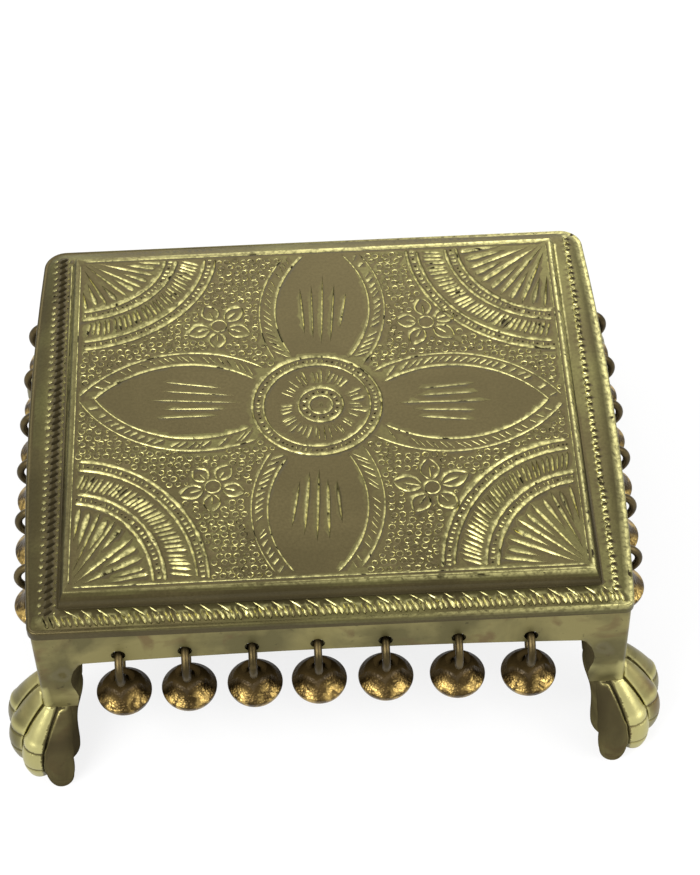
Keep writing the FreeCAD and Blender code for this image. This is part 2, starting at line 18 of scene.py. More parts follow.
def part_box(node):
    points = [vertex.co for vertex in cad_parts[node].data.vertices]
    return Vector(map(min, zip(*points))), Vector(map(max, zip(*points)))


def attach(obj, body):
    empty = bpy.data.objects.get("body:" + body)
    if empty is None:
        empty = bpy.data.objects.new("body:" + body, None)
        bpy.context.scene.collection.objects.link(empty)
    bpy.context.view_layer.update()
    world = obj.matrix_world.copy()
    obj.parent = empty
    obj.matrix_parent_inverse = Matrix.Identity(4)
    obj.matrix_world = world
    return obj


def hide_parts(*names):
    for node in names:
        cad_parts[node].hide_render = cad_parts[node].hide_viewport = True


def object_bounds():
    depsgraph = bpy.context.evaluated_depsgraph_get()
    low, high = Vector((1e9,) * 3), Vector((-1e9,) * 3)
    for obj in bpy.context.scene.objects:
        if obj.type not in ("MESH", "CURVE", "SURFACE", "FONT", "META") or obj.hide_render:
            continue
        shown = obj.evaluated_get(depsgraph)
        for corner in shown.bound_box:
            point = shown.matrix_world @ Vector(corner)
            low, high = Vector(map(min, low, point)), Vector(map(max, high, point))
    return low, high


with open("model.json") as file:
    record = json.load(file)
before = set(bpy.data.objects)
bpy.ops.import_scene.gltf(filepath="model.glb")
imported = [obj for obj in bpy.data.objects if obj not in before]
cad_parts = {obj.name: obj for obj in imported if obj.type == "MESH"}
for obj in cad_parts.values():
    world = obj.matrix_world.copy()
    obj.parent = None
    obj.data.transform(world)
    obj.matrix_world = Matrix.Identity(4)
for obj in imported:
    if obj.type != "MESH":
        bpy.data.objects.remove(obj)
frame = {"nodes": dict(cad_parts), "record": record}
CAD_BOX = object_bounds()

bl_info = {
    "name": "Brass Puja Stool",
    "version": (1, 0, 0),
    "blender": (4, 5, 0),
    "location": "3D View > Sidebar > Stool",
    "description": "Dresses a brass puja stool: engraving, cast surfaces, bells, light and camera",
    "category": "Object",
}

MM = 0.001
SEED = 11


class StoolSizes(bpy.types.PropertyGroup):
    """Sizes of the tool marks and of the dressed pieces."""

    cut_depth: FloatProperty(
        name="Cut Depth", description="Depth of a full engraved stroke",
        default=0.32 * MM, min=0.0, unit="LENGTH")
    line_width: FloatProperty(
        name="Line Width", description="Width of a long engraved line",
        default=1.0 * MM, min=0.0, unit="LENGTH")
    ringlet_radius: FloatProperty(
        name="Ringlet Radius", description="Radius of the punched ringlets of the ground",
        default=1.2 * MM, min=0.0, unit="LENGTH")
    ringlet_pitch: FloatProperty(
        name="Ringlet Pitch", description="Distance between the punched ringlets",
        default=3.35 * MM, min=0.0, unit="LENGTH")
    rim_reach: FloatProperty(
        name="Rim Reach", description="How far in from the edge the plate's outer rim sinks",
        default=6.5 * MM, min=0.0, unit="LENGTH")
    rim_fall: FloatProperty(
        name="Rim Fall", description="How far the plate's upper face sinks at its edge",
        default=1.7 * MM, min=0.0, unit="LENGTH")


class StoolColours(bpy.types.PropertyGroup):
    """Colours of the metal, linear."""

    plain: FloatVectorProperty(
        name="Plain Brass", description="Rubbed flat faces of the petals",
        subtype="COLOR", size=3, default=(0.09, 0.073, 0.033), min=0.0, max=1.0)
    verdigris: FloatVectorProperty(
        name="Verdigris", description="Faint green cast of the worked plate",
        subtype="COLOR", size=3, default=(0.15, 0.14, 0.052), min=0.0, max=1.0)
    # Also the colour of painted highlights on rims, bevels and paws.
    cut: FloatVectorProperty(
        name="Cut Brass", description="Bright walls of the engraved strokes",
        subtype="COLOR", size=3, default=(0.68, 0.63, 0.27), min=0.0, max=1.0)
    # Also the colour of painted shade beside the strokes and on the legs' inner sides.
    tarnish_and_shade: FloatVectorProperty(
        name="Tarnish", description="Dark dirt in the cuts and corners",
        subtype="COLOR", size=3, default=(0.030, 0.024, 0.012), min=0.0, max=1.0)
    frame_brass: FloatVectorProperty(
        name="Frame Brass", description="Filed faces of the aprons and legs",
        subtype="COLOR", size=3, default=(0.235, 0.205, 0.082), min=0.0, max=1.0)
    blush: FloatVectorProperty(
        name="Copper Blush", description="Reddish patches on the filed faces",
        subtype="COLOR", size=3, default=(0.20, 0.105, 0.05), min=0.0, max=1.0)
    ring: FloatVectorProperty(
        name="Ring Brass", description="Wire of the rings",
        subtype="COLOR", size=3, default=(0.115, 0.086, 0.038), min=0.0, max=1.0)
    bronze: FloatVectorProperty(
        name="Bell Bronze", description="Dark skin of the bells",
        subtype="COLOR", size=3, default=(0.085, 0.056, 0.02), min=0.0, max=1.0)
    # The colour of the painted highlights on the bells' outer sides.
    gold: FloatVectorProperty(
        name="Bell Gold", description="Rubbed high spots of the bells",
        subtype="COLOR", size=3, default=(0.78, 0.54, 0.17), min=0.0, max=1.0)
    floor: FloatVectorProperty(
        name="Floor", description="Pale studio floor",
        subtype="COLOR", size=3, default=(0.9, 0.9, 0.9), min=0.0, max=1.0)


def clamp(value, low=0.0, high=1.0):
    return min(high, max(low, value))


def ease(value, start, end):
    """0 before start, 1 after end and smooth between them."""
    share = clamp((value - start) / (end - start))
    return share * share * (3 - 2 * share)


def hump(offset, width):
    """1 where the offset is none, and almost 0 at twice the width."""
    return math.exp(-(offset / width) ** 2)


def spin_point(u, v, degrees):
    turn = math.radians(degrees)
    return Vector((u * math.cos(turn) - v * math.sin(turn), u * math.sin(turn) + v * math.cos(turn)))


def circle_points(middle, radius, count):
    return [Vector(middle) + spin_point(radius, 0, 360 * n / count) for n in range(count)]


def node_mesh(name):
    """A merged bmesh copy of a CAD node."""
    bm = bmesh.new()
    bm.from_mesh(frame["nodes"][name].data)
    bmesh.ops.remove_doubles(bm, verts=bm.verts, dist=0.001 * MM)
    return bm


def link_mesh(name, bm, material):
    """Turn a bmesh into a shaded object of the scene."""
    mesh = bpy.data.meshes.new(name)
    bm.to_mesh(mesh)
    bm.free()
    mesh.materials.append(material)
    made = bpy.data.objects.new(name, mesh)
    bpy.context.scene.collection.objects.link(made)
    return made


def add_piece(name, bm, material, body, slot, *replaced):
    """Turn a bmesh into a shaded piece of the stool that stands for CAD nodes."""
    piece = link_mesh(name, bm, material)
    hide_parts(*replaced)
    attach(piece, body)


def sampled_tree(spans, reach, ends=0):
    """A search tree over spans, each two points, sampled so that no long span is missed."""
    samples = []
    for start, end in spans:
        span = end - start
        steps = max(1, math.ceil(span.length / reach))
        samples += [start + span * n / steps for n in range(steps + ends)]
    tree = KDTree(len(samples))
    for n, sample in enumerate(samples):
        tree.insert(sample.to_3d(), n)
    tree.balance()
    return tree


# The side of a stroke whose rim takes painted shade, and the share of painted shade on that
# rim and of painted highlight on the other rim.
SHADED_SIDE = Vector((0.5, -0.866))
RIM_SHADE = 0.4
RIM_HIGHLIGHT = 0.5
# From one sample of a stroke or an outline to the next, in millimetres.
SAMPLE_REACH = 1.0
# Wear of a bright stroke, which chance draws from.
BRIGHT = (0.55, 1.0)
# Gouges by kind: their width, where they are widest as a share of their length, their depth as a
# share of a full stroke's, and their wear, a share of which their lit rims take as painted highlight.
# Two numbers are a range that chance draws from.
GOUGES = {
    "petal_hatch": ((0.5, 0.85), (0.3, 0.7), 0.8, BRIGHT),
    "petal_stroke": ((0.8, 1.2), (0.35, 0.58), 1.0, BRIGHT),
    "bead": ((0.85, 1.15), 0.5, 0.9, BRIGHT),
    "ray": ((0.55, 0.95), (0.4, 0.8), 0.9, BRIGHT),
    "boss_bead": (0.9, 0.5, 1.0, BRIGHT),
    "fan_hatch": ((1.35, 1.75), (0.35, 0.65), 1.0, BRIGHT),
    "fan_ray": ((1.7, 2.3), (0.66, 0.82), 1.0, BRIGHT),
    "fan_dart": ((2.4, 3.2), (0.66, 0.8), 1.0, BRIGHT),
    "flower_vein": ((0.8, 1.2), 0.4, 1.0, BRIGHT),
    "front_line": (0.8, 0.5, 1.0, BRIGHT),
    "front_leaf": ((1.7, 2.2), 0.6, 1.1, (0.8, 1.0)),
    "left_gouge": ((1.3, 1.7), 0.45, 1.3, -0.95),
    "left_outer": ((0.8, 1.2), 0.5, 1.0, BRIGHT),
    "left_inner": (0.7, 0.5, 1.0, BRIGHT),
}
# Depth of a ringlet and of a pit as a share of a full stroke's, and wear in a ringlet's middle.
RINGLET_DEPTH = 0.8
PIT_DEPTH = 1.3
RINGLET_DIRT = -0.3


def rim_light_and_shade(side, bright):
    """Painted rim light: shade on a stroke's shaded side, and a highlight from the bed's wear on the other.
    """
    facing = side.normalized().dot(SHADED_SIDE)
    return -(RIM_SHADE if facing > 0 else RIM_HIGHLIGHT * bright) * facing


class Strokes:
    """Strokes to cut into a flat face, in millimetres: their rims, their beds, their wear and painted light.

    Wear is 1 on bright metal, 0 on plain metal and -1 under dirt; the rims' painted light shares that scale.
    """

    def __init__(self, depth, chance):
        self.depth = depth
        self.chance = chance
        self.points = []
        self.edges = []
        self.drops = []
        self.wear_and_light = []

    def draw(self, given):
        """A number as it is, or one that chance draws from a range."""
        return self.chance.uniform(*given) if isinstance(given, tuple) else given

    def chain(self, points, drop, closed, wear_and_light):
        """Add a line of points whose drop, and wear with painted light, are one number or one for each
        point.
        """
        first = len(self.points)
        count = len(points)
        self.points += [Vector(point) for point in points]
        self.drops += drop if isinstance(drop, list) else [drop] * count
        self.wear_and_light += wear_and_light if isinstance(wear_and_light, list) else [wear_and_light] * count
        for n in range(count if closed else count - 1):
            self.edges.append((first + n, first + (n + 1) % count))
        return first

    def worn_chain(self, pairs, drop, closed):
        """Add a line of points that are paired with their wear and painted light."""
        points, wear_and_light = zip(*pairs)
        return self.chain(points, drop, closed, list(wear_and_light))

    def groove(self, start, end, left, bed, right, drop):
        """Add a cut with two sharp ends, whose rims and bed are points paired with their wear and painted
        light.
        """
        rim = self.worn_chain([(start, 0), *right, (end, 0), *left[::-1]], 0, True)
        floor = self.worn_chain(bed, drop, False)
        self.edges.append((rim, floor))
        self.edges.append((rim + len(bed) + 1, floor + len(bed) - 1))

    def gouge(self, kind, start, end, scale=1.0):
        """A single gouge: pointed at both ends and widest part of the way along."""
        width, fat, depth, wear_and_light = GOUGES[kind]
        width = scale * self.draw(width)
        fat = self.draw(fat)
        wear_and_light = self.draw(wear_and_light)
        start = Vector(start)
        along = Vector(end) - start
        side = Vector((-along.y, along.x)).normalized() * width / 2
        early = 0.8 if fat < 0.6 else 0.55
        stations = ((fat * 0.5, early), (fat, 1.0), (fat + (1 - fat) * 0.6, 0.75))
        # Painted highlight on the lit rim and painted shade on the shaded rim.
        left = [(start + along * t + side * s, rim_light_and_shade(side, wear_and_light)) for t, s in stations]
        right = [(start + along * t - side * s, rim_light_and_shade(-side, wear_and_light)) for t, s in stations]
        bed = [(start + along * t, wear_and_light) for t, _ in stations]
        self.groove(start, Vector(end), left, bed, right, self.depth * depth * clamp(width, 0.7, 1.7))

    def line(self, points, width, depth=1.0, closed=False, even=0.6):
        """A long engraved line: open with pointed ends, or closed, with edges more or less even."""
        count = len(points)
        rows = []
        swell = 1.0
        for n, point in enumerate(points):
            before = points[n - 1] if closed or n else point
            after = points[(n + 1) % count] if closed or n < count - 1 else point
            along = (after - before).normalized()
            swell = even * swell + (1 - even) * self.draw((0.55, 1.4))
            side = Vector((-along.y, along.x)) * width * swell / 2
            wear_and_light = self.draw((even, 1.0))
            # Painted highlight on the lit rim and painted shade on the shaded rim.
            rows.append(((point + side, rim_light_and_shade(side, wear_and_light)), (point, wear_and_light),
                         (point - side, rim_light_and_shade(-side, wear_and_light))))
        left, bed, right = zip(*rows)
        drop = self.depth * depth * clamp(width, 0.7, 1.5)
        if closed:
            for row, fall in ((left, 0), (right, 0), (bed, drop)):
                self.worn_chain(row, fall, True)
        else:
            self.groove(points[0], points[-1], left[1:-1], bed[1:-1], right[1:-1], drop)

    def circle(self, middle, radius, count, width, even=0.6):
        """A round engraved line."""
        self.line(circle_points(middle, radius, count), width, closed=True, even=even)

    def ringlet(self, middle, radius, width, sides=8):
        """The mark of a round hollow punch that struck askew, with dirt in its middle."""
        turn = self.draw((0, math.tau))
        askew = self.draw((0, math.tau))
        angles = [turn + n * math.tau / sides for n in range(sides)]
        spokes = [Vector((math.cos(a), math.sin(a))) for a in angles]
        share = [clamp(0.78 + 0.5 * math.cos(a - askew), 0.25) for a in angles]
        bright = self.draw((0.6, 1.0))
        middle = Vector(middle)
        # Painted highlight and painted shade on the ringlet's two rims.
        for reach, way in ((radius + width / 2, 1), (radius - width / 2, -1)):
            self.worn_chain([(middle + s * reach, 0.5 * rim_light_and_shade(s * way, bright)) for s in spokes], 0, True)
        self.chain([middle + s * radius for s in spokes], [self.depth * RINGLET_DEPTH * t for t in share],
                   True, [bright * t for t in share])
        self.chain([middle], 0, False, RINGLET_DIRT * self.draw((0.2, 1.0)))

    def pit(self, middle, radius):
        """A round punched dot full of dirt."""
        rim = [Vector(middle) + Vector((math.cos(n), math.sin(n))) * radius for n in range(6)]
        self.chain(rim, 0, True, 0)
        self.chain([middle], self.depth * PIT_DEPTH, False, -1.0)

    def sprinkle(self, spots, clear):
        """Spare points between the strokes, which let the face bend there."""
        tree = self.tree()
        for spot in spots:
            if tree.find(spot.to_3d())[2] > clear:
                self.chain([spot], 0, False, 0)

    def tree(self):
        """A search tree over the strokes."""
        return sampled_tree([(self.points[a], self.points[b]) for a, b in self.edges], SAMPLE_REACH)


def at_height(part, height):
    """Whether an edge or a face lies flat at a height."""
    return all(abs(v.co.z - height) < 0.01 * MM for v in part.verts)


def boundary_loops(bm, height):
    """The open edge loops at a height, each as a list of vertices in order."""
    edges = dict.fromkeys(e for e in bm.edges if e.is_boundary and at_height(e, height))
    loops = []
    while edges:
        edge = next(iter(edges))
        loop = [edge.verts[0]]
        while edge:
            del edges[edge]
            loop.append(edge.other_vert(loop[-1]))
            edge = next((e for e in loop[-1].link_edges if e in edges), None)
        if loop[-1] is loop[0]:
            loop.pop()
        loops.append(loop)
    return loops


def open_flat(bm, height):
    """Take away the flat faces that look up at a height."""
    flats = [f for f in bm.faces if f.normal.z > 0.999 and at_height(f, height)]
    bmesh.ops.delete(bm, geom=flats, context="FACES")


def grid_spots(half, pitch):
    """Spots of a staggered grid over a rectangle."""
    columns, rows = math.floor(half.x / pitch), math.floor(half.y / pitch)
    for i in range(-columns, columns):
        for j in range(-rows, rows + 1):
            yield Vector(((i + 0.5 * (j % 2)) * pitch, j * pitch))


def inside_outline(spot, tree, spare):
    """Whether a spot lies inside a rounded outline, which a search tree holds, and clear of it."""
    nearest, _, gap = tree.find(spot.to_3d())
    nearest = nearest.to_2d()
    return gap > spare and (spot - nearest).dot(nearest) < 0


def crease(bm, degrees):
    """Smooth the faces and keep the edges sharp whose faces turn by more than an angle."""
    for face in bm.faces:
        face.smooth = True
    for edge in bm.edges:
        edge.smooth = len(edge.link_faces) == 2 and edge.calc_face_angle(0.0) < math.radians(degrees)


def engrave(bm, height, strokes, inside, tone, wear_and_light_layer):
    """Close the opening at a height with a face that has the strokes cut into it.

    The tone of a spot is the wear of the uncut metal there.
    """
    points = []
    edges = []
    owners = []
    for loop in boundary_loops(bm, height):
        first = len(points)
        for n, vert in enumerate(loop):
            points.append(Vector((vert.co.x / MM, vert.co.y / MM)))
            owners.append(vert)
            edges.append((first + n, first + (n + 1) % len(loop)))
    rim_count = len(points)
    points += strokes.points
    edges += [(a + rim_count, b + rim_count) for a, b in strokes.edges]
    flat, _, faces, sources, _, _ = delaunay_2d_cdt(points, edges, [], 0, 1e-5, True)
    verts = []
    for point, origins in zip(flat, sources):
        rims = [n for n in origins if n < rim_count]
        if rims:
            verts.append(owners[rims[0]])
            continue
        drop = min((strokes.drops[n - rim_count] for n in origins), default=0)
        vert = bm.verts.new((point.x * MM, point.y * MM, height - drop * MM))
        wear_and_light = min((strokes.wear_and_light[n - rim_count] for n in origins), default=0)
        vert[wear_and_light_layer] = max(wear_and_light, tone(point)) if wear_and_light >= 0 else wear_and_light
        verts.append(vert)
    for face in faces:
        middle = sum((flat[n] for n in face), Vector((0, 0))) / len(face)
        corners = [verts[n] for n in face]
        if inside(middle) and bm.faces.get(corners) is None:
            made = bm.faces.new(corners)
            made.normal_update()
            if made.normal.z < 0:
                made.normal_flip()


# The engraved design, in millimetres from the middle of the panel and degrees from +X.
# Petals: their turns, how wide their strokes are cut, and the middle, half length and half width
# of their inner and outer outlines.
PETAL_TURNS = (-1.5, 87.4, 174.7, 266.8)
PETAL_STROKE_WIDTHS = (0.6, 1.2, 0.6, 1.6)
INNER_PETAL = (51.0, 37.7, 19.0)
OUTER_PETAL = (50.0, 45.5, 25.2)
OUTLINE_STEPS = 40
# Strokes along a petal: place across it and length, as shares of their spread and their reach.
PETAL_STROKES = ((-0.42, 0.62), (-0.21, 0.82), (0.0, 1.0), (0.2, 0.8), (0.4, 0.66))
STROKE_MIDDLE = 50.0
STROKE_REACH = 18.5
STROKE_SPREAD = 20.0
# Hatching between a petal's outlines: where it starts and ends, its steps, its lean and how far
# it keeps from both outlines.
HATCH_RUN = (22.0, 86.0)
HATCH_PITCH = (2.3, 3.6)
HATCH_LEAN = (3.0, 4.6)
HATCH_SPARE = (1.3, 1.2)
MEDALLION = (-1.5, 0.0)
MEDALLION_RADIUS = 25.2
MEDALLION_BAND = 4.3
MEDALLION_BEADS = 74
MEDALLION_RAYS = 46
RAY_START = (10.3, 11.8)
RAY_END = (15.5, 19.5)
BOSS_RADIUS = 8.7
BOSS_EYE = 4.6
BOSS_BEADS = 22
# Corner fans: side in x, side in y, their reach along x and y, and how far their hatching leans.
FANS = (
    (-1, 1, 57.0, 50.5, 3.0),
    (1, 1, 59.5, 61.0, -2.0),
    (1, -1, 55.5, 61.5, 3.0),
    (-1, -1, 53.5, 61.5, -3.0),
)
# How far in from a fan's rim its four lines run, and the pitch of its beads and of its hatching.
FAN_INSETS = (0.0, 4.3, 16.0, 20.5)
FAN_BEAD_PITCH = 2.0
FAN_HATCH_PITCH = 2.05
FAN_STEPS = 70
FAN_RAYS = 6
# Flowers: where, how they are turned, in degrees, and how large against the others.
FLOWERS = (
    (-39.3, 44.0, 122, 1.08),
    (43.8, 41.2, 100, 1.08),
    (-42.3, -38.6, 125, 1.04),
    (40.6, -43.8, 95, 1.2),
)
FLOWER_PETALS = 5
FLOWER_DISC = 3.1
FLOWER_REACH = 12.6
# Lines along the panel's edge, and how far the rest of the design keeps from it.
EDGE_LINE = 1.7
EDGE_SPARE = 2.6
# Width of a ringlet's groove, and radius and groove width of the small ones in narrow places.
RINGLET_WIDTH = 0.55
SMALL_RINGLET = (1.0, 0.45)
# Wear of uncut metal on the plate: under the medallion, on worked ground and among the front gouges.
MEDALLION_TONE = 0.02
WORKED_TONE = 0.06
FRONT_TONE = 0.4


def petal_width(u, shape):
    """Half width of a pointed petal at a distance from the middle of the panel."""
    middle, half_length, half_width = shape
    radius = (half_length ** 2 + half_width ** 2) / (2 * half_width)
    if abs(u - middle) >= half_length:
        return 0.0
    return math.sqrt(radius ** 2 - (u - middle) ** 2) - radius + half_width


def in_petals(spot, shape, spare=0.0):
    """Whether a spot lies in one of the petals."""
    local = [spin_point(spot.x, spot.y, -turn) for turn in PETAL_TURNS]
    return any(abs(p.y) < petal_width(p.x, shape) + spare for p in local)


def runs_inside(points, inside):
    """The stretches of a line whose points pass a test."""
    run = []
    for point in points:
        if inside(point):
            run.append(point)
        elif run:
            yield run
            run = []
    if run:
        yield run


def on_panel(half, spare=EDGE_SPARE):
    return lambda p: abs(p.x) < half.x - spare and abs(p.y) < half.y - spare


def off_medallion(point, spare=1.0):
    return (point - Vector(MEDALLION)).length > MEDALLION_RADIUS + spare


def petals(strokes, width, half):
    """Four pointed petals: two outlines each, hatching between them and a few lengthwise strokes."""
    draw = strokes.draw

    def clear(point):
        return on_panel(half)(point) and off_medallion(point)

    for turn, stroke_width in zip(PETAL_TURNS, PETAL_STROKE_WIDTHS):
        for shape, heavy in ((INNER_PETAL, 0.85), (OUTER_PETAL, 0.7)):
            middle, length, _ = shape
            for side in (-1, 1):
                points = []
                for n in range(OUTLINE_STEPS + 1):
                    u = middle - length * math.cos(math.pi * n / OUTLINE_STEPS)
                    points.append(spin_point(u, side * petal_width(u, shape), turn))
                for run in runs_inside(points, clear):
                    if len(run) > 3:
                        strokes.line(run, width * heavy, even=0.86)
        for side in (-1, 1):
            u, last = HATCH_RUN
            while u < last:
                u += draw(HATCH_PITCH)
                far = u + draw(HATCH_LEAN)
                start = spin_point(u, side * (petal_width(u, INNER_PETAL) + HATCH_SPARE[0]), turn)
                end = spin_point(far, side * (petal_width(far, OUTER_PETAL) - HATCH_SPARE[1]), turn)
                long = clear(start) and clear(end) and (end - start).length > 3.0
                if long and strokes.chance.random() < 0.88:
                    strokes.gouge("petal_hatch", start, end)
        for across, long_share in PETAL_STROKES:
            reach = STROKE_REACH * long_share * draw((0.85, 1.1))
            shift = STROKE_MIDDLE + draw((-2.0, 2.0))
            v = across * STROKE_SPREAD
            start = spin_point(shift - reach, v * 0.85, turn)
            end = spin_point(shift + reach, v * 1.15, turn)
            strokes.gouge("petal_stroke", start, end, stroke_width)


def beads(strokes, spot, count, width, dots):
    """Small marks across a band: short gouges, with a dirty dot here and there."""
    for n in range(count):
        middle, across = spot((n + strokes.draw((-0.15, 0.15))) / count)
        if middle is None:
            continue
        if strokes.chance.random() < dots:
            strokes.pit(middle, strokes.draw((0.5, 0.7)))
        else:
            half = across.normalized() * width * strokes.draw((0.38, 0.5))
            strokes.gouge("bead", middle - half, middle + half)


def medallion(strokes, width):
    """The round medallion: a beaded rim, a ring of rays and a beaded boss."""
    draw = strokes.draw
    inner = MEDALLION_RADIUS - MEDALLION_BAND
    strokes.circle(MEDALLION, MEDALLION_RADIUS, 110, width * 1.4, 0.5)
    strokes.circle(MEDALLION, inner, 90, width * 1.1, 0.5)

    def rim_spot(share):
        across = spin_point(1, 0, 360 * share)
        return Vector(MEDALLION) + across * (MEDALLION_RADIUS - MEDALLION_BAND / 2 - 0.1), across

    beads(strokes, rim_spot, MEDALLION_BEADS, MEDALLION_BAND - 2.6 * width, 0.3)
    for n in range(MEDALLION_RAYS):
        angle = 360 * (n + draw((-0.3, 0.3))) / MEDALLION_RAYS
        start = spin_point(draw(RAY_START), 0, angle)
        end = spin_point(draw(RAY_END), 0, angle + draw((-3, 3)))
        if (end - Vector(MEDALLION)).length < inner - 0.9 and strokes.chance.random() < 0.93:
            strokes.gouge("ray", start, end)
    strokes.circle((0, 0), BOSS_RADIUS, 40, width * 1.2, 0.4)
    strokes.circle((0, 0), BOSS_EYE, 26, width * 1.05, 0.4)
    for n in range(BOSS_BEADS):
        spot = spin_point((BOSS_RADIUS + BOSS_EYE) / 2 - 0.1, 0, 360 * n / BOSS_BEADS)
        if n % 2:
            strokes.pit(spot, draw((0.6, 0.8)))
        else:
            strokes.gouge("boss_bead", spot * 0.88, spot * 1.14)
    strokes.ringlet((0.1, -0.1), 0.55, 0.4, 6)


def fans(strokes, width, half):
    """A fan in each corner: rays from the corner, then two beaded bands with hatching between."""
    draw = strokes.draw
    for side_x, side_y, reach_x, reach_y, lean in FANS:
        corner = Vector((side_x * half.x, side_y * half.y))

        def spot(angle, inset):
            turn = math.radians(angle)
            return corner - Vector((side_x * (reach_x - inset) * math.cos(turn),
                                    side_y * (reach_y - inset) * math.sin(turn)))

        def marks(inset, pitch):
            return int((reach_x + reach_y - 2 * inset) * math.pi / 4 / pitch)

        for inset in FAN_INSETS:
            points = [spot(90 * n / FAN_STEPS, inset) for n in range(FAN_STEPS + 1)]
            for run in runs_inside(points, on_panel(half)):
                strokes.line(run, width * draw((1.5, 1.9)), even=0.5)
        for inset in ((FAN_INSETS[0] + FAN_INSETS[1]) / 2, (FAN_INSETS[2] + FAN_INSETS[3]) / 2):

            def band_spot(share):
                middle = spot(90 * share, inset)
                across = middle - corner
                return (middle if on_panel(half, EDGE_SPARE + 0.6)(middle) else None), across

            band = FAN_INSETS[1] - 2.2 * width
            beads(strokes, band_spot, marks(inset, FAN_BEAD_PITCH), band, 0.35)
        count = marks((FAN_INSETS[1] + FAN_INSETS[2]) / 2, FAN_HATCH_PITCH)
        for n in range(1, count):
            angle = 90 * (n + draw((-0.15, 0.15))) / count
            start = spot(angle, FAN_INSETS[1] + draw((1.3, 1.9)))
            end = spot(angle - lean, FAN_INSETS[2] - draw((1.2, 1.9)))
            if on_panel(half)(start) and on_panel(half)(end):
                strokes.gouge("fan_hatch", start, end)
        for n in range(FAN_RAYS):
            angle = 90 * (n + 0.5 + draw((-0.12, 0.12))) / FAN_RAYS
            far = spot(angle, FAN_INSETS[3] + 1.4)
            out = (far - corner).normalized()
            close = corner + out * max(4.2, 2.9 / min(abs(out.x), abs(out.y)))
            strokes.gouge("fan_ray", close, far)
            if n:
                far = spot(angle - 45 / FAN_RAYS, FAN_INSETS[3] + draw((2.0, 3.0)))
                close = corner + (far - corner) * draw((0.5, 0.62))
                strokes.gouge("fan_dart", close, far)


def flowers(strokes, width):
    """Four small flowers of veined petals round a plain disc."""
    draw = strokes.draw
    for x, y, turn, size in FLOWERS:
        middle = Vector((x, y))
        strokes.circle(middle, FLOWER_DISC, 14, width * 0.6)
        strokes.chain(circle_points(middle, FLOWER_DISC - 0.8, 10), 0, True, -0.14)
        for n in range(FLOWER_PETALS):
            angle = turn + 360 / FLOWER_PETALS * n + draw((-6, 6))
            reach = FLOWER_REACH * size * draw((0.86, 1.02))
            foot = FLOWER_DISC + 0.7
            for side in (-1, 1):
                points = []
                for step in range(11):
                    share = step / 10
                    v = 0.1 + 2.9 * size * math.sin(math.pi * share ** 0.9) ** 0.85
                    points.append(middle + spin_point(foot + (reach - foot) * share, side * v, angle))
                strokes.line(points, width * draw((1.0, 1.3)))
            start, end = (middle + spin_point(r, 0, angle) for r in (foot + 0.6, reach - 3.4))
            strokes.gouge("flower_vein", start, end)


def ground(strokes, radius, pitch, half):
    """Rows of punched ringlets wherever the design leaves the panel bare."""
    draw = strokes.draw
    tree = strokes.tree()
    small, small_width = SMALL_RINGLET
    y = -half.y + EDGE_SPARE + radius
    while y < half.y - EDGE_SPARE - radius:
        x = -half.x + EDGE_SPARE + radius + draw((0, pitch / 2))
        while x < half.x - EDGE_SPARE - radius:
            spot = Vector((x + draw((-0.25, 0.25)), y + draw((-0.35, 0.35))))
            x += pitch * draw((0.93, 1.1))
            room = tree.find(spot.to_3d())[2]
            if room > small and bare(spot, half):
                if room > radius + RINGLET_WIDTH / 2 + 0.15:
                    strokes.ringlet(spot, radius * draw((0.9, 1.08)), RINGLET_WIDTH)
                else:
                    strokes.ringlet(spot, min(small, room - 0.35), small_width, 7)
        y += pitch * 0.94


def panel_tone(spot):
    """Wear of the uncut panel: none in the petals, some where the ground was worked all over."""
    if in_petals(spot, INNER_PETAL, 0.2):
        return 0.0
    return WORKED_TONE if off_medallion(spot, -MEDALLION_BAND) else MEDALLION_TONE


def bare(spot, half):
    """Whether a spot lies outside the medallion, petals, fans and flowers."""
    if not off_medallion(spot) or in_petals(spot, OUTER_PETAL):
        return False
    for side_x, side_y, reach_x, reach_y, _ in FANS:
        share_x = (side_x * half.x - spot.x) / reach_x
        share_y = (side_y * half.y - spot.y) / reach_y
        if share_x ** 2 + share_y ** 2 < 1:
            return False
    return all((spot - Vector((x, y))).length > FLOWER_DISC + 0.5 for x, y, _, _ in FLOWERS)


def edge_lines(strokes, width, half):
    """A line along each side of the panel."""
    inset = half - Vector((EDGE_LINE, EDGE_LINE))
    for along in (Vector((1, 0)), Vector((0, 1))):
        for side in (-1, 1):
            across = Vector((along.y, along.x)) * side
            reach = along.dot(inset) - 1.0
            middle = Vector((across.x * inset.x, across.y * inset.y))
            points = [middle + along * (reach * n / 60) for n in range(-60, 61)]
            strokes.line(points, width * 0.55, 0.7)


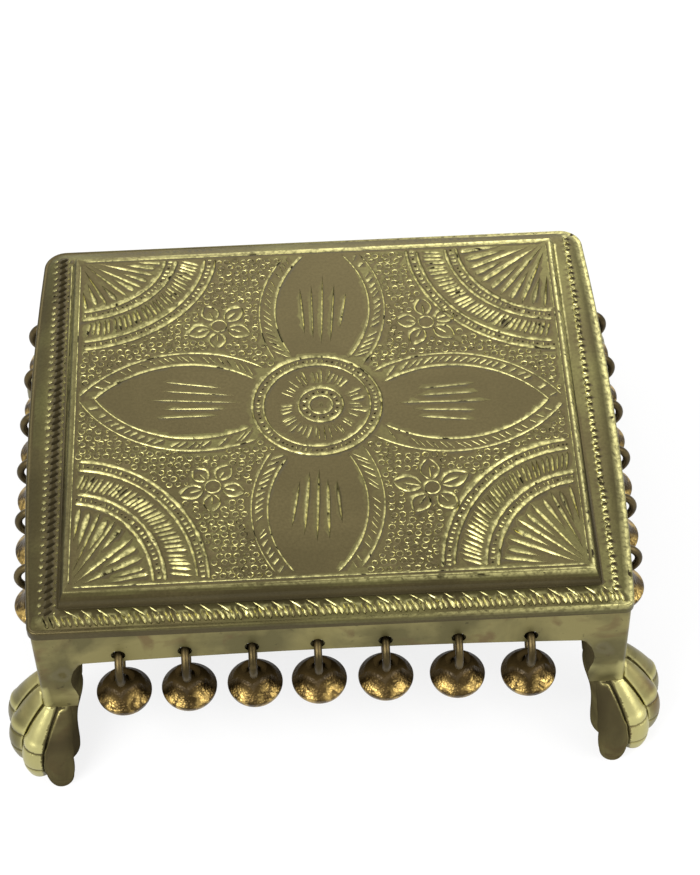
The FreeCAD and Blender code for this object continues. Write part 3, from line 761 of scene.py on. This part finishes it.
def border(strokes, inner, outer):
    """Hand-cut borders: two rows of gouges in front, dirty gouges on the left, crescents on the right."""
    draw = strokes.draw
    x = -inner.x - 3
    while x < inner.x + 1:
        x += draw((5.8, 7.2))
        end = (x + draw((2.6, 3.6)), -inner.y - draw((4.6, 5.4)))
        strokes.gouge("front_line", (x - 1.8, -inner.y - 0.9), end)
    x = -inner.x - 7
    while x < inner.x + 6:
        x += draw((1.95, 2.4))
        foot = (x + draw((1.2, 2.0)), -outer.y + draw((0.5, 1.0)))
        tip = (x - draw((0.2, 0.9)), -outer.y + draw((4.8, 5.8)))
        strokes.gouge("front_leaf", tip, foot)
    edge = -inner.x
    y = -inner.y - 5
    while y < inner.y + 2:
        y += draw((3.1, 3.7))
        strokes.gouge("left_gouge", (edge - 5.4, y - 1.5), (edge - 1.6, y + 1.4))
        strokes.gouge("left_outer", (edge - 7.4, y - 0.5), (edge - 6.0, y + 0.5))
        strokes.gouge("left_inner", (edge - 1.5, y - 0.9), (edge - 0.8, y + 0.1))
        middle = Vector((inner.x + 5.6, y))
        points = [middle + spin_point(1.35, 0, 35 + 44 * n) for n in range(7)]
        strokes.line(points, draw((1.0, 1.25)), 1.1)
        strokes.chain([middle + Vector((0.3, 0.1))], 0.1, False, -0.8)


def rim_fall(spot, tree, reach):
    """How much of its full fall the plate's upper face has sunk at a spot near its outer edge."""
    return max(0.0, 1 - tree.find(spot.to_3d())[2] / reach) ** 2


class Shade:
    """A procedural material being put together: its node tree and its metal shader."""

    def __init__(self, name):
        self.material = bpy.data.materials.new(name)
        self.material.use_nodes = True
        self.tree = self.material.node_tree
        self.shader = self.tree.nodes["Principled BSDF"]

    def put(self, socket, given):
        """Link another socket to an input, or set the input to a value or a colour."""
        if isinstance(given, bpy.types.NodeSocket):
            self.tree.links.new(given, socket)
        else:
            socket.default_value = (*given, 1.0) if socket.type == "RGBA" else given

    def node(self, kind, settings=None, **inputs):
        """A new node with settings, and inputs given as values or as sockets to link."""
        node = self.tree.nodes.new(kind)
        for key, setting in (settings or {}).items():
            setattr(node, key, setting)
        for key, given in inputs.items():
            self.put(node.inputs[key.replace("_", " ")], given)
        return node

    def attribute(self, name):
        return self.node("ShaderNodeAttribute", {"attribute_name": name}).outputs["Fac"]

    def pattern(self, kind, output, **inputs):
        """A texture in the object's own coordinates."""
        place = self.node("ShaderNodeTexCoord").outputs["Object"]
        return self.node(kind, Vector=place, **inputs).outputs[output]

    def noise(self, scale, detail=4.0, distortion=0.0):
        return self.pattern("ShaderNodeTexNoise", "Fac", Scale=scale, Detail=detail, Distortion=distortion)

    def ramp(self, fac, low, high, start=0.0, end=1.0):
        """A clamped straight ramp from start to end while fac goes from low to high."""
        made = self.node("ShaderNodeMapRange", Value=fac, From_Min=low, From_Max=high,
                         To_Min=start, To_Max=end)
        return made.outputs["Result"]

    def times(self, a, b):
        made = self.node("ShaderNodeMath", {"operation": "MULTIPLY"})
        self.put(made.inputs[0], a)
        self.put(made.inputs[1], b)
        return made.outputs["Value"]

    def mix(self, fac, a, b):
        """Blend two colours, each a socket or three numbers."""
        made = self.node("ShaderNodeMix", {"data_type": "RGBA"}, Factor=fac)
        for socket, given in zip([s for s in made.inputs if s.type == "RGBA"], (a, b)):
            self.put(socket, given)
        return next(s for s in made.outputs if s.type == "RGBA")

    def clouded(self, fac, low, high, colour, dark, bright=1.0):
        """A colour that a pattern takes from a dark share of itself to a bright one."""
        return self.mix(self.ramp(fac, low, high), darker(colour, dark), darker(colour, bright))

    def finish(self, colour, rough, height, depth, dirt_and_shade=None):
        """Link the parts to the metal; where dirt and painted shade reach 1 it is hidden under a matt layer.
        """
        bump = self.node("ShaderNodeBump", Strength=1.0, Distance=depth, Height=height)
        parts = {"Base Color": colour, "Roughness": rough, "Normal": bump.outputs["Normal"], "Metallic": 1.0}
        if dirt_and_shade is not None:
            parts["Metallic"] = self.ramp(dirt_and_shade, 0.1, 0.6, 1.0, 0.0)
            parts["Specular IOR Level"] = self.ramp(dirt_and_shade, 0.1, 0.6, 0.5, 0.0)
        for key, given in parts.items():
            self.put(self.shader.inputs[key], given)
        return self.material


def darker(colour, share):
    return tuple(c * share for c in colour)


# Depths of the bump of a smooth metal's grain and of the bells' stipple.
GRAIN_DEPTH = 0.03 * MM
STIPPLE_DEPTH = 0.16 * MM


def plate_brass(colours):
    """Rubbed brass whose cuts are bright, with dark dirt caught in some of them and painted light at rims
    and bevels.
    """
    shade = Shade("engraved_brass")
    cloud = shade.noise(22.0, 6.0, 0.6)
    plain = colours.plain
    colour = shade.clouded(cloud, 0.38, 0.64, plain, 0.84, 1.15)
    wear_and_light = shade.attribute("wear_and_light")
    green = shade.ramp(shade.noise(34.0, 4.0, 0.3), 0.42, 0.68, 0.1, 0.75)
    worked = shade.times(green, shade.ramp(wear_and_light, 0.02, 0.06))
    colour = shade.mix(worked, colour, colours.verdigris)
    fleck = shade.noise(900.0, 3.0)
    colour = shade.mix(shade.ramp(fleck, 0.35, 0.75, 0.0, 0.4), colour, darker(plain, 0.55))
    glint = shade.noise(650.0, 2.0)
    bright = shade.clouded(glint, 0.35, 0.62, colours.cut, 0.45)
    # Bright cuts, and painted highlights on lit rims, the bevel and the outer rim on the right.
    edge = shade.times(shade.ramp(wear_and_light, 0.2, 0.62), shade.ramp(glint, 0.25, 0.5, 0.6, 1.0))
    colour = shade.mix(edge, colour, bright)
    caught = shade.times(shade.ramp(wear_and_light, 0.2, 0.5), shade.ramp(shade.noise(120.0, 5.0, 0.8), 0.61, 0.65))
    colour = shade.mix(caught, colour, colours.tarnish_and_shade)
    # Dirt in pits and gouges, and painted shade on shaded rims and at the bevel's foot in front.
    dirt_and_shade = shade.ramp(wear_and_light, -0.08, -0.6)
    colour = shade.mix(dirt_and_shade, colour, colours.tarnish_and_shade)
    rough = shade.ramp(cloud, 0.3, 0.7, 0.36, 0.5)
    return shade.finish(colour, rough, fleck, GRAIN_DEPTH, dirt_and_shade)


def frame_brass(colours):
    """Filed brass of the aprons, rails and legs, with brown and reddish patches and painted highlights and
    shade.
    """
    shade = Shade("filed_brass")
    cloud = shade.noise(36.0, 5.0, 0.5)
    colour = shade.clouded(cloud, 0.42, 0.6, colours.frame_brass, 0.55, 1.1)
    blush = shade.ramp(shade.noise(58.0, 4.0, 0.7), 0.55, 0.66, 0.0, 0.55)
    colour = shade.mix(blush, colour, darker(colours.blush, 0.6))
    pits = shade.ramp(shade.noise(380.0, 3.0), 0.66, 0.76, 0.0, 0.6)
    colour = shade.mix(pits, colour, colours.tarnish_and_shade)
    wear_and_light = shade.attribute("wear_and_light")
    # Bright golden stains, and painted highlights on the paws.
    colour = shade.mix(shade.ramp(wear_and_light, 0.15, 0.8, 0.0, 0.85), colour, darker(colours.cut, 0.85))
    # Dark stains, and painted shade on the legs' inner sides and in the paws.
    dirt_and_shade = shade.times(shade.ramp(wear_and_light, -0.1, -0.75), shade.ramp(cloud, 0.35, 0.6, 1.0, 0.8))
    colour = shade.mix(dirt_and_shade, colour, darker(colours.tarnish_and_shade, 1.3))
    rough = shade.ramp(cloud, 0.3, 0.7, 0.3, 0.46)
    return shade.finish(colour, rough, shade.noise(700.0, 3.0), GRAIN_DEPTH, dirt_and_shade)


def ring_brass(colours):
    """Drawn wire in brown and dull golden patches."""
    shade = Shade("wire_brass")
    cloud = shade.noise(160.0, 4.0, 0.5)
    colour = shade.clouded(cloud, 0.38, 0.62, colours.ring, 0.45)
    rough = shade.ramp(cloud, 0.3, 0.7, 0.36, 0.5)
    return shade.finish(colour, rough, shade.noise(900.0), GRAIN_DEPTH)


def bell_bronze(colours):
    """Dark cast skin, stippled all over, with painted gold highlights in blotches on its outer sides."""
    shade = Shade("bell_bronze")
    painted_bell_light = shade.attribute("painted_bell_light")
    cloud = shade.noise(190.0, 4.0, 0.4)
    colour = shade.clouded(cloud, 0.35, 0.65, colours.bronze, 0.5)
    # Painted dark reflection round the bell's crown.
    crown_shade = shade.ramp(painted_bell_light, -0.05, -0.9, 0.0, 0.9)
    colour = shade.mix(crown_shade, colour, darker(colours.bronze, 0.3))
    # Painted highlights: gold blotches and gold dots on the bell's outer sides.
    blotch = shade.noise(260.0, 5.0, 0.9)
    patch = shade.times(shade.ramp(painted_bell_light, 0.05, 0.6), shade.ramp(blotch, 0.4, 0.62))
    colour = shade.mix(shade.times(patch, 0.9), colour, darker(colours.gold, 0.62))
    stipple = shade.pattern("ShaderNodeTexVoronoi", "Distance", Scale=1050.0)
    dots = shade.times(shade.ramp(stipple, 0.4, 0.2), shade.ramp(blotch, 0.44, 0.56))
    colour = shade.mix(shade.times(dots, shade.ramp(painted_bell_light, -0.3, 0.8, 0.0, 0.5)), colour, colours.gold)
    rough = shade.ramp(cloud, 0.3, 0.7, 0.3, 0.46)
    return shade.finish(colour, rough, stipple, STIPPLE_DEPTH, crown_shade)


def stage_floor(colours):
    """A pale floor that looks white and still takes the stool's shadow."""
    shade = Shade("studio_floor")
    shade.put(shade.shader.inputs["Base Color"], colours.floor)
    shade.put(shade.shader.inputs["Roughness"], 0.9)
    glow = shade.node("ShaderNodeEmission")
    blend = shade.node("ShaderNodeMixShader", Fac=shade.times(seen_directly(shade.tree), 0.8))
    shade.put(blend.inputs[1], shade.shader.outputs["BSDF"])
    shade.put(blend.inputs[2], glow.outputs["Emission"])
    shade.put(shade.tree.nodes["Material Output"].inputs["Surface"], blend.outputs["Shader"])
    return shade.material


def seen_directly(tree):
    """1 for rays from the camera, from a shiny face or through glass, and 0 for light."""
    path = tree.nodes.new("ShaderNodeLightPath")
    total = path.outputs["Is Camera Ray"]
    for name in ("Is Glossy Ray", "Is Transmission Ray"):
        larger = tree.nodes.new("ShaderNodeMath")
        larger.operation = "MAXIMUM"
        tree.links.new(total, larger.inputs[0])
        tree.links.new(path.outputs[name], larger.inputs[1])
        total = larger.outputs["Value"]
    return total


def stool_nodes(kind):
    """Names of the CAD nodes whose name holds a word, in order."""
    return [name for name in sorted(frame["nodes"]) if kind in name]


def body_of(node):
    """The name of the moving or fixed body that holds a CAD node."""
    return next(body for body, held in frame["record"]["behaviour"]["bodies"].items() if node in held)


def dress_nodes(kind, material):
    """Give the CAD nodes of a kind, which keep their own shape, a better material."""
    for name in stool_nodes(kind):
        slots = frame["nodes"][name].data.materials
        slots.clear()
        slots.append(material)


# Which way each side of the stool looks.
OUTWARD = {"front": (0, -1, 0), "back": (0, 1, 0), "left": (-1, 0, 0), "right": (1, 0, 0)}


# Height of the panel's bevel, how far beside the panel only the slab is left, height of the slab's
# rounded edge, and width of the front gouges' band.
BEVEL_FALL = 4 * MM
BESIDE_PANEL = 8.0
ROUNDED_EDGE = 2 * MM
FRONT_BAND = 6.0
# Painted highlight on the bevel on the right and elsewhere; painted shade at its foot in front and
# painted highlight at its foot elsewhere; painted highlight on the plate's outer rim on the right.
BEVEL_HIGHLIGHT = (0.6, 0.25)
FOOT_SHADE_AND_HIGHLIGHT = (-0.5, 0.6)
OUTER_RIM_HIGHLIGHT = 0.55


def reach_of(loop):
    """How far a loop of vertices reaches along +X and +Y, in millimetres."""
    return Vector((max(v.co.x for v in loop), max(v.co.y for v in loop))) / MM


def engrave_panel(bm, sizes, chance, wear_and_light):
    """Cut the design into the raised panel, paint a highlight on its bevel and give back half its sizes."""
    panel_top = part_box("top_plate")[1][2]
    open_flat(bm, panel_top)
    half = reach_of(boundary_loops(bm, panel_top)[0])
    # Painted highlight on the panel's bevel, stronger on its right side.
    for vert in bm.verts:
        if vert.co.z > panel_top - BEVEL_FALL:
            vert[wear_and_light] = BEVEL_HIGHLIGHT[0] if vert.co.x > (half.x - 1) * MM else BEVEL_HIGHLIGHT[1]
    strokes = Strokes(sizes.cut_depth / MM, chance)
    width = sizes.line_width / MM
    edge_lines(strokes, width, half)
    medallion(strokes, width)
    petals(strokes, width, half)
    fans(strokes, width, half)
    flowers(strokes, width)
    ground(strokes, sizes.ringlet_radius / MM, sizes.ringlet_pitch / MM, half)
    strokes.sprinkle(grid_spots(half - Vector((1, 1)), 1.7), 0.8)
    engrave(bm, panel_top, strokes, lambda p: True, panel_tone, wear_and_light)
    return half


def engrave_slab(bm, sizes, chance, wear_and_light, half):
    """Cut the borders into the slab round the panel, paint light at the bevel's foot and sink its outer rim.
    """
    slab_top = max(v.co.z for v in bm.verts if abs(v.co.x) > (half.x + BESIDE_PANEL) * MM)
    open_flat(bm, slab_top)
    loops = sorted(boundary_loops(bm, slab_top), key=lambda loop: reach_of(loop).x)
    inner, outer = reach_of(loops[0]), reach_of(loops[-1])
    # Painted shade at the bevel's foot in front, and a painted highlight at its foot elsewhere.
    for vert in loops[0]:
        vert[wear_and_light] = FOOT_SHADE_AND_HIGHLIGHT[0] if vert.co.y < (0.5 - inner.y) * MM else FOOT_SHADE_AND_HIGHLIGHT[1]
    rim = [(v.co / MM).to_2d() for v in loops[-1]]
    tree = sampled_tree([(rim[n - 1], spot) for n, spot in enumerate(rim)], SAMPLE_REACH)

    def outside(spot, spare=0.0):
        return abs(spot.x) > inner.x + spare or abs(spot.y) > inner.y + spare

    def tone(spot):
        return FRONT_TONE if spot.y < FRONT_BAND - outer.y else WORKED_TONE

    strokes = Strokes(sizes.cut_depth / MM, chance)
    border(strokes, inner, outer)
    spots = [p for p in grid_spots(outer, 1.5) if inside_outline(p, tree, 0.5) and outside(p, 0.6)]
    strokes.sprinkle(spots, 0.9)
    engrave(bm, slab_top, strokes, outside, tone, wear_and_light)
    for vert in bm.verts:
        spot = (vert.co / MM).to_2d()
        if vert.co.z > slab_top - ROUNDED_EDGE and outside(spot) and not vert.is_boundary:
            sunk = rim_fall(spot, tree, sizes.rim_reach / MM)
            vert.co.z -= sizes.rim_fall * sunk
            # Painted highlight on the sunk outer rim on the right side.
            if vert[wear_and_light] >= 0 and spot.x > inner.x + 2:
                vert[wear_and_light] = max(vert[wear_and_light], OUTER_RIM_HIGHLIGHT * sunk)
            elif vert[wear_and_light] >= 0 and spot.y < -inner.y:
                vert[wear_and_light] *= 1 - sunk


class STOOL_OT_top_plate(bpy.types.Operator):
    """Engrave the plate: the raised panel and the border round it"""
    bl_idname = "stool.top_plate"
    bl_label = "Top Plate"

    def execute(self, context):
        sizes = context.scene.stool_sizes
        bm = node_mesh("top_plate")
        wear_and_light = bm.verts.layers.float.new("wear_and_light")
        chance = random.Random(SEED)
        half = engrave_panel(bm, sizes, chance, wear_and_light)
        engrave_slab(bm, sizes, chance, wear_and_light, half)
        crease(bm, degrees=18)
        material = plate_brass(context.scene.stool_colours)
        add_piece("engraved_plate", bm, material, "stool", "plate_brass", "top_plate")
        return {"FINISHED"}


# Where the paws stand, in millimetres: their axis, the height of the toes and how far they run out.
PAW_AXIS = (101.45, 87.45)
PAW_HEIGHT = 45.0
TOE_RUN = 20.7
# The toes: the angle of each from +X round its paw, in degrees, and how high it rises as a share.
TOES = ((74.0, 0.74), (46.0, 0.80), (18.0, 0.92), (-10.0, 1.0))
# Least distance from a paw's axis of the creases between its toes, and of its marks beside the leg.
CREASE_REACH = 9.0
MARK_REACH = 11.5
# Half width of a crease, place of the ridge beside it, half width of a knuckle's and a claw's cut,
# and how far the claw lies past the knuckle and the pad before it, with the pad's half width.
CREASE_WIDTH = 0.42
RIDGE_PLACE = 1.15
CUT_WIDTH = 0.4
CLAW_DROP = 9.5
PAD_RISE = 2.6
PAD_WIDTH = 1.7
# Outer faces of the legs from the middle of the stool, how thick a leg is and where it tapers.
LEG_FACE = (110.7, 96.7)
LEG_SIZES = (12.7, 18.5)
LEG_HEIGHTS = (33.0, 60.6)
# Where the sculpted legs begin along X, and the height where they end.
LEG_START = 91.0
LEG_TOP = 66.0
# The golden and the brown patch of a leg: their height, how far they reach and their wear.
LEG_PATCHES = ((41.0, 5.0, 0.7), (54.0, 6.0, -0.5))
# Longest edges of the paws, of the creases and of the rest, and reach of a crease's fine edges.
PAW_EDGE = 1.0 * MM
CREASE_EDGE = 0.5 * MM
FRAME_EDGE = 4.0 * MM
CREASE_BAND = 1.6 * MM


def refine(bm, wanted, longest):
    """Halve the edges of a part of a mesh until none there is longer than a length."""
    for _ in range(7):
        long = [e for e in bm.edges if e.calc_length() > longest]
        inside = {v for v in {v for e in long for v in e.verts} if wanted(v.co)}
        edges = [e for e in long if inside.issuperset(e.verts)]
        if not edges:
            break
        bmesh.ops.subdivide_edges(bm, edges=edges, cuts=1)
        bmesh.ops.triangulate(bm, faces=[f for f in bm.faces if len(f.verts) > 3])


def crease_tree(bm):
    """A search tree over the creases where the toes meet each other."""
    creases = []
    for edge in bm.edges:
        start, end = (vert.co for vert in edge.verts)
        middle = (start + end) / 2
        out = math.hypot(abs(middle.x) / MM - PAW_AXIS[0], abs(middle.y) / MM - PAW_AXIS[1])
        if middle.z < PAW_HEIGHT * MM and out > CREASE_REACH and edge.calc_face_angle_signed(0.0) < -0.3:
            creases.append((start, end))
    return sampled_tree(creases, CREASE_EDGE, 1)


def paw_mark(u, f, z, gap):
    """Depth and painted light of a paw's marks at a spot, from its axis and its nearest crease."""
    reach = math.hypot(u, f)
    turn = math.degrees(math.atan2(f, u))
    heel = ease(turn, 58.0, 62.0)
    angle, rise = min(TOES, key=lambda toe: abs(turn - toe[0]))
    along = reach * math.cos(math.radians(turn - angle))
    ahead = Vector((4.1, -13.0 * rise)).normalized()
    past = (along - 0.95 * TOE_RUN) * ahead.x + (z - 0.40 * PAW_HEIGHT * rise) * ahead.y
    fold = hump(gap, CREASE_WIDTH)
    ridge = hump(gap - RIDGE_PLACE, CUT_WIDTH)
    knuckle = hump(past, CUT_WIDTH) * ease(along, 14.0, 18.0) * (1 - heel)
    claw = hump(past - CLAW_DROP, CUT_WIDTH) * ease(along, 15.0, 19.0)
    pad = hump(past + PAD_RISE, PAD_WIDTH) * ease(along, 12.0, 17.0) * (1 - fold)
    depth = 0.55 * fold - 0.15 * ridge + 0.5 * knuckle + 0.45 * claw - 0.4 * pad
    # Painted highlights on pads, ridges and forward toes; painted shade on the heel and in creases and cuts.
    wear_and_light = 0.2 + 0.4 * pad + 0.35 * ridge + 0.45 * ease(turn, 25.0, 40.0) * (1 - heel)
    wear_and_light = wear_and_light * (1 - heel) + (0.9 * ridge - 0.75) * heel
    return depth, wear_and_light - 1.1 * max(fold, 0.8 * knuckle, 0.7 * claw)


def lean(z, behind):
    """How far a leg's inner side moves inwards at a height, in front and behind, in millimetres."""
    front = 0.2 * (1 - ease(z, 34.0, 46.0)) - 4.2 * ease(z, 38.0, 50.0) * (1 - ease(z, 54.0, 65.8))
    back = 1.2 * (1 - ease(z, 36.0, 46.0))
    return (front * (1 - behind) ** 3 + back * behind) * ease(z, 22.0, 34.0)


def sculpt_legs(bm, wear_and_light):
    """Cut the paws' creases and claws, lean the legs' inner sides and paint light, shade and stains."""
    tree = crease_tree(bm)
    for wanted, longest in (
            (lambda p: p.z < (PAW_HEIGHT + 1) * MM, PAW_EDGE),
            (lambda p: tree.find(p)[2] < CREASE_BAND, CREASE_EDGE),
            (lambda p: True, FRAME_EDGE)):
        refine(bm, wanted, longest)
    bm.normal_update()
    moves = []
    for vert in bm.verts:
        x, y, z = vert.co / MM
        if abs(x) < LEG_START or z > LEG_TOP:
            continue
        side = math.copysign(1, x)
        u, f = abs(x) - PAW_AXIS[0], abs(y) - PAW_AXIS[1]
        move = Vector((0, 0, 0))
        if 0.4 < z < PAW_HEIGHT and (math.hypot(u, f) > MARK_REACH or z < LEG_HEIGHTS[0] - 1):
            depth, vert[wear_and_light] = paw_mark(u, f, z, tree.find(vert.co)[2] / MM)
            move = vert.normal * (-depth * ease(z, 0.4, 2.5) * MM)
        taper = clamp((z - LEG_HEIGHTS[0]) / (LEG_HEIGHTS[1] - LEG_HEIGHTS[0]))
        size = LEG_SIZES[0] + (LEG_SIZES[1] - LEG_SIZES[0]) * taper
        inner = clamp((LEG_FACE[0] - abs(x)) / size)
        behind = clamp((LEG_FACE[1] - abs(y)) / size)
        move.x -= side * lean(z, behind) * inner ** 2 * MM
        # Painted shade on the legs' inner sides, darker the more they face the middle of the stool.
        if -side * vert.normal.x > 0.3:
            vert[wear_and_light] = min(vert[wear_and_light], side * vert.normal.x)
        elif z > LEG_HEIGHTS[0] and vert[wear_and_light] == 0:
            patch = sum(hump(z - middle, width) * mark for middle, width, mark in LEG_PATCHES)
            vert[wear_and_light] = patch * (0.5 + noise.noise(vert.co / (8 * MM)))
        moves.append((vert, move))
    for vert, move in moves:
        vert.co += move


class STOOL_OT_frames(bpy.types.Operator):
    """Sculpt the paw legs and finish the leg frames and side rails"""
    bl_idname = "stool.frames"
    bl_label = "Leg Frames and Rails"

    def execute(self, context):
        material = frame_brass(context.scene.stool_colours)
        for name in stool_nodes("frame"):
            bm = node_mesh(name)
            wear_and_light = bm.verts.layers.float.new("wear_and_light")
            sculpt_legs(bm, wear_and_light)
            crease(bm, degrees=35)
            add_piece("cast_" + name, bm, material, "stool", "frame_brass", name)
        dress_nodes("rail", material)
        return {"FINISHED"}


class STOOL_OT_rings(bpy.types.Operator):
    """Finish the wire rings"""
    bl_idname = "stool.rings"
    bl_label = "Rings"

    def execute(self, context):
        dress_nodes("ring_", ring_brass(context.scene.stool_colours))
        return {"FINISHED"}


# Middles of a bell's painted highlights, sideways and upwards against its outward direction.
BELL_HIGHLIGHT_PATCHES = ((-0.75, -0.15), (0.7, 0.05), (0.1, -0.75))


def painted_bell_light(direction, outward):
    """Painted light on a bell: 1 as highlight patches on its outer side, -1 as a dark reflection round its
    crown.
    """
    across = Vector((-outward.y, outward.x, 0))
    best = -0.55 - 0.45 * ease(direction.z, 0.1, 0.6)
    for side, rise in BELL_HIGHLIGHT_PATCHES:
        patch = (outward + across * side + Vector((0, 0, rise))).normalized()
        best = max(best, 1.1 - (direction - patch).length / 0.55)
    return min(1.0, best)


# Height of a bell's widest place as a share of its width, height of its dome as a share of its
# radius, and how much its shoulders draw in.
BELL_MIDDLE_SHARE = 0.37
BELL_HEIGHT_SHARE = 0.733
BELL_WAIST = 0.23


class STOOL_OT_bells(bpy.types.Operator):
    """Cast the jingle bells and paint highlights on their low outer sides"""
    bl_idname = "stool.bells"
    bl_label = "Bells"

    def execute(self, context):
        material = bell_bronze(context.scene.stool_colours)
        for name in stool_nodes("_bell_"):
            bm = node_mesh(name)
            layer = bm.verts.layers.float.new("painted_bell_light")
            low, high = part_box(name)
            middle = (Vector(low) + Vector(high)) / 2
            middle.z = low[2] + BELL_MIDDLE_SHARE * (high[0] - low[0])
            outward = Vector(OUTWARD[name.split("_")[0]])
            radius = (high[0] - low[0]) / 2
            for vert in bm.verts:
                place = vert.co - middle
                vert[layer] = painted_bell_light(place.normalized(), outward)
                rise = place.z / (BELL_HEIGHT_SHARE * radius)
                if 0 < rise < 1:
                    waist = 1 - BELL_WAIST * math.sin(math.pi * rise)
                    vert.co.x = middle.x + place.x * waist
                    vert.co.y = middle.y + place.y * waist
            crease(bm, degrees=30)
            add_piece("cast_" + name, bm, material, body_of(name), "bell_bronze", name)
        return {"FINISHED"}


# The camera that the stool was fitted to, its turns in degrees and its lens in millimetres.
CAMERA_PLACE = (-2.7 * MM, -599.5 * MM, 783.75 * MM)
CAMERA_TURNS = (39.992, 1.043, -2.552)
CAMERA_LENS = 96.8
SENSOR = 36.0
# Half the floor's side, and the world's light on the stool, against 1 where it is seen directly.
FLOOR_HALF = 9.0
WORLD_LIGHT = 0.7
# Soft lamps: name, place, size and power in watts.
LAMPS = (
    ("key", (-0.55, -0.55, 0.75), 0.5, 9.0),
    ("fill", (0.75, -0.35, 0.55), 0.6, 5.0),
    ("back", (0.1, 0.8, 0.6), 0.7, 4.0),
)


def hang(name, data, place, turns):
    """Put a lamp or the camera in its place."""
    holder = bpy.data.objects.new(name, data)
    holder.location = place
    holder.rotation_euler = turns
    bpy.context.scene.collection.objects.link(holder)
    return holder


class STOOL_OT_stage(bpy.types.Operator):
    """Lay the floor, hang the lamps and place the camera"""
    bl_idname = "stool.stage"
    bl_label = "Stage"

    def execute(self, context):
        scene = context.scene
        bm = bmesh.new()
        bmesh.ops.create_grid(bm, x_segments=1, y_segments=1, size=FLOOR_HALF)
        floor = link_mesh("floor", bm, stage_floor(scene.stool_colours))
        middle = Vector((0, 0, CAD_BOX[1][2] / 2))
        for name, place, size, power in LAMPS:
            lamp = bpy.data.lights.new(name, "AREA")
            lamp.size = size
            lamp.energy = power
            hang(name, lamp, place, (middle - Vector(place)).to_track_quat("-Z", "Y").to_euler())
        world = bpy.data.worlds.new("studio")
        world.use_nodes = True
        tree = world.node_tree
        background = tree.nodes["Background"]
        background.inputs["Color"].default_value = (1, 1, 1, 1)
        strength = tree.nodes.new("ShaderNodeMapRange")
        strength.inputs["To Min"].default_value = WORLD_LIGHT
        tree.links.new(seen_directly(tree), strength.inputs["Value"])
        tree.links.new(strength.outputs["Result"], background.inputs["Strength"])
        scene.world = world
        camera = bpy.data.cameras.new("camera")
        camera.sensor_width = SENSOR
        camera.lens = CAMERA_LENS
        camera.clip_end = 2 * FLOOR_HALF
        scene.camera = hang("camera", camera, CAMERA_PLACE, [math.radians(turn) for turn in CAMERA_TURNS])
        scene.view_settings.view_transform = "Standard"
        return {"FINISHED"}


OPERATORS = (STOOL_OT_top_plate, STOOL_OT_frames, STOOL_OT_rings, STOOL_OT_bells, STOOL_OT_stage)


class STOOL_PT_pieces(bpy.types.Panel):
    """The stool's sizes, colours and pieces"""
    bl_idname = "STOOL_PT_pieces"
    bl_label = "Brass Puja Stool"
    bl_space_type = "VIEW_3D"
    bl_region_type = "UI"
    bl_category = "Stool"

    def draw(self, context):
        for group in (context.scene.stool_sizes, context.scene.stool_colours):
            box = self.layout.box()
            for name in group.__annotations__:
                box.prop(group, name)
        for operator in OPERATORS:
            self.layout.operator(operator.bl_idname)


CLASSES = (StoolSizes, StoolColours, *OPERATORS, STOOL_PT_pieces)


def register():
    for cls in CLASSES:
        bpy.utils.register_class(cls)
    bpy.types.Scene.stool_sizes = PointerProperty(type=StoolSizes)
    bpy.types.Scene.stool_colours = PointerProperty(type=StoolColours)


def unregister():
    del bpy.types.Scene.stool_colours
    del bpy.types.Scene.stool_sizes
    for cls in reversed(CLASSES):
        bpy.utils.unregister_class(cls)


def main():
    register()
    bpy.ops.stool.top_plate()
    bpy.ops.stool.frames()
    bpy.ops.stool.rings()
    bpy.ops.stool.bells()
    bpy.ops.stool.stage()


if __name__ == "__main__":
    main()
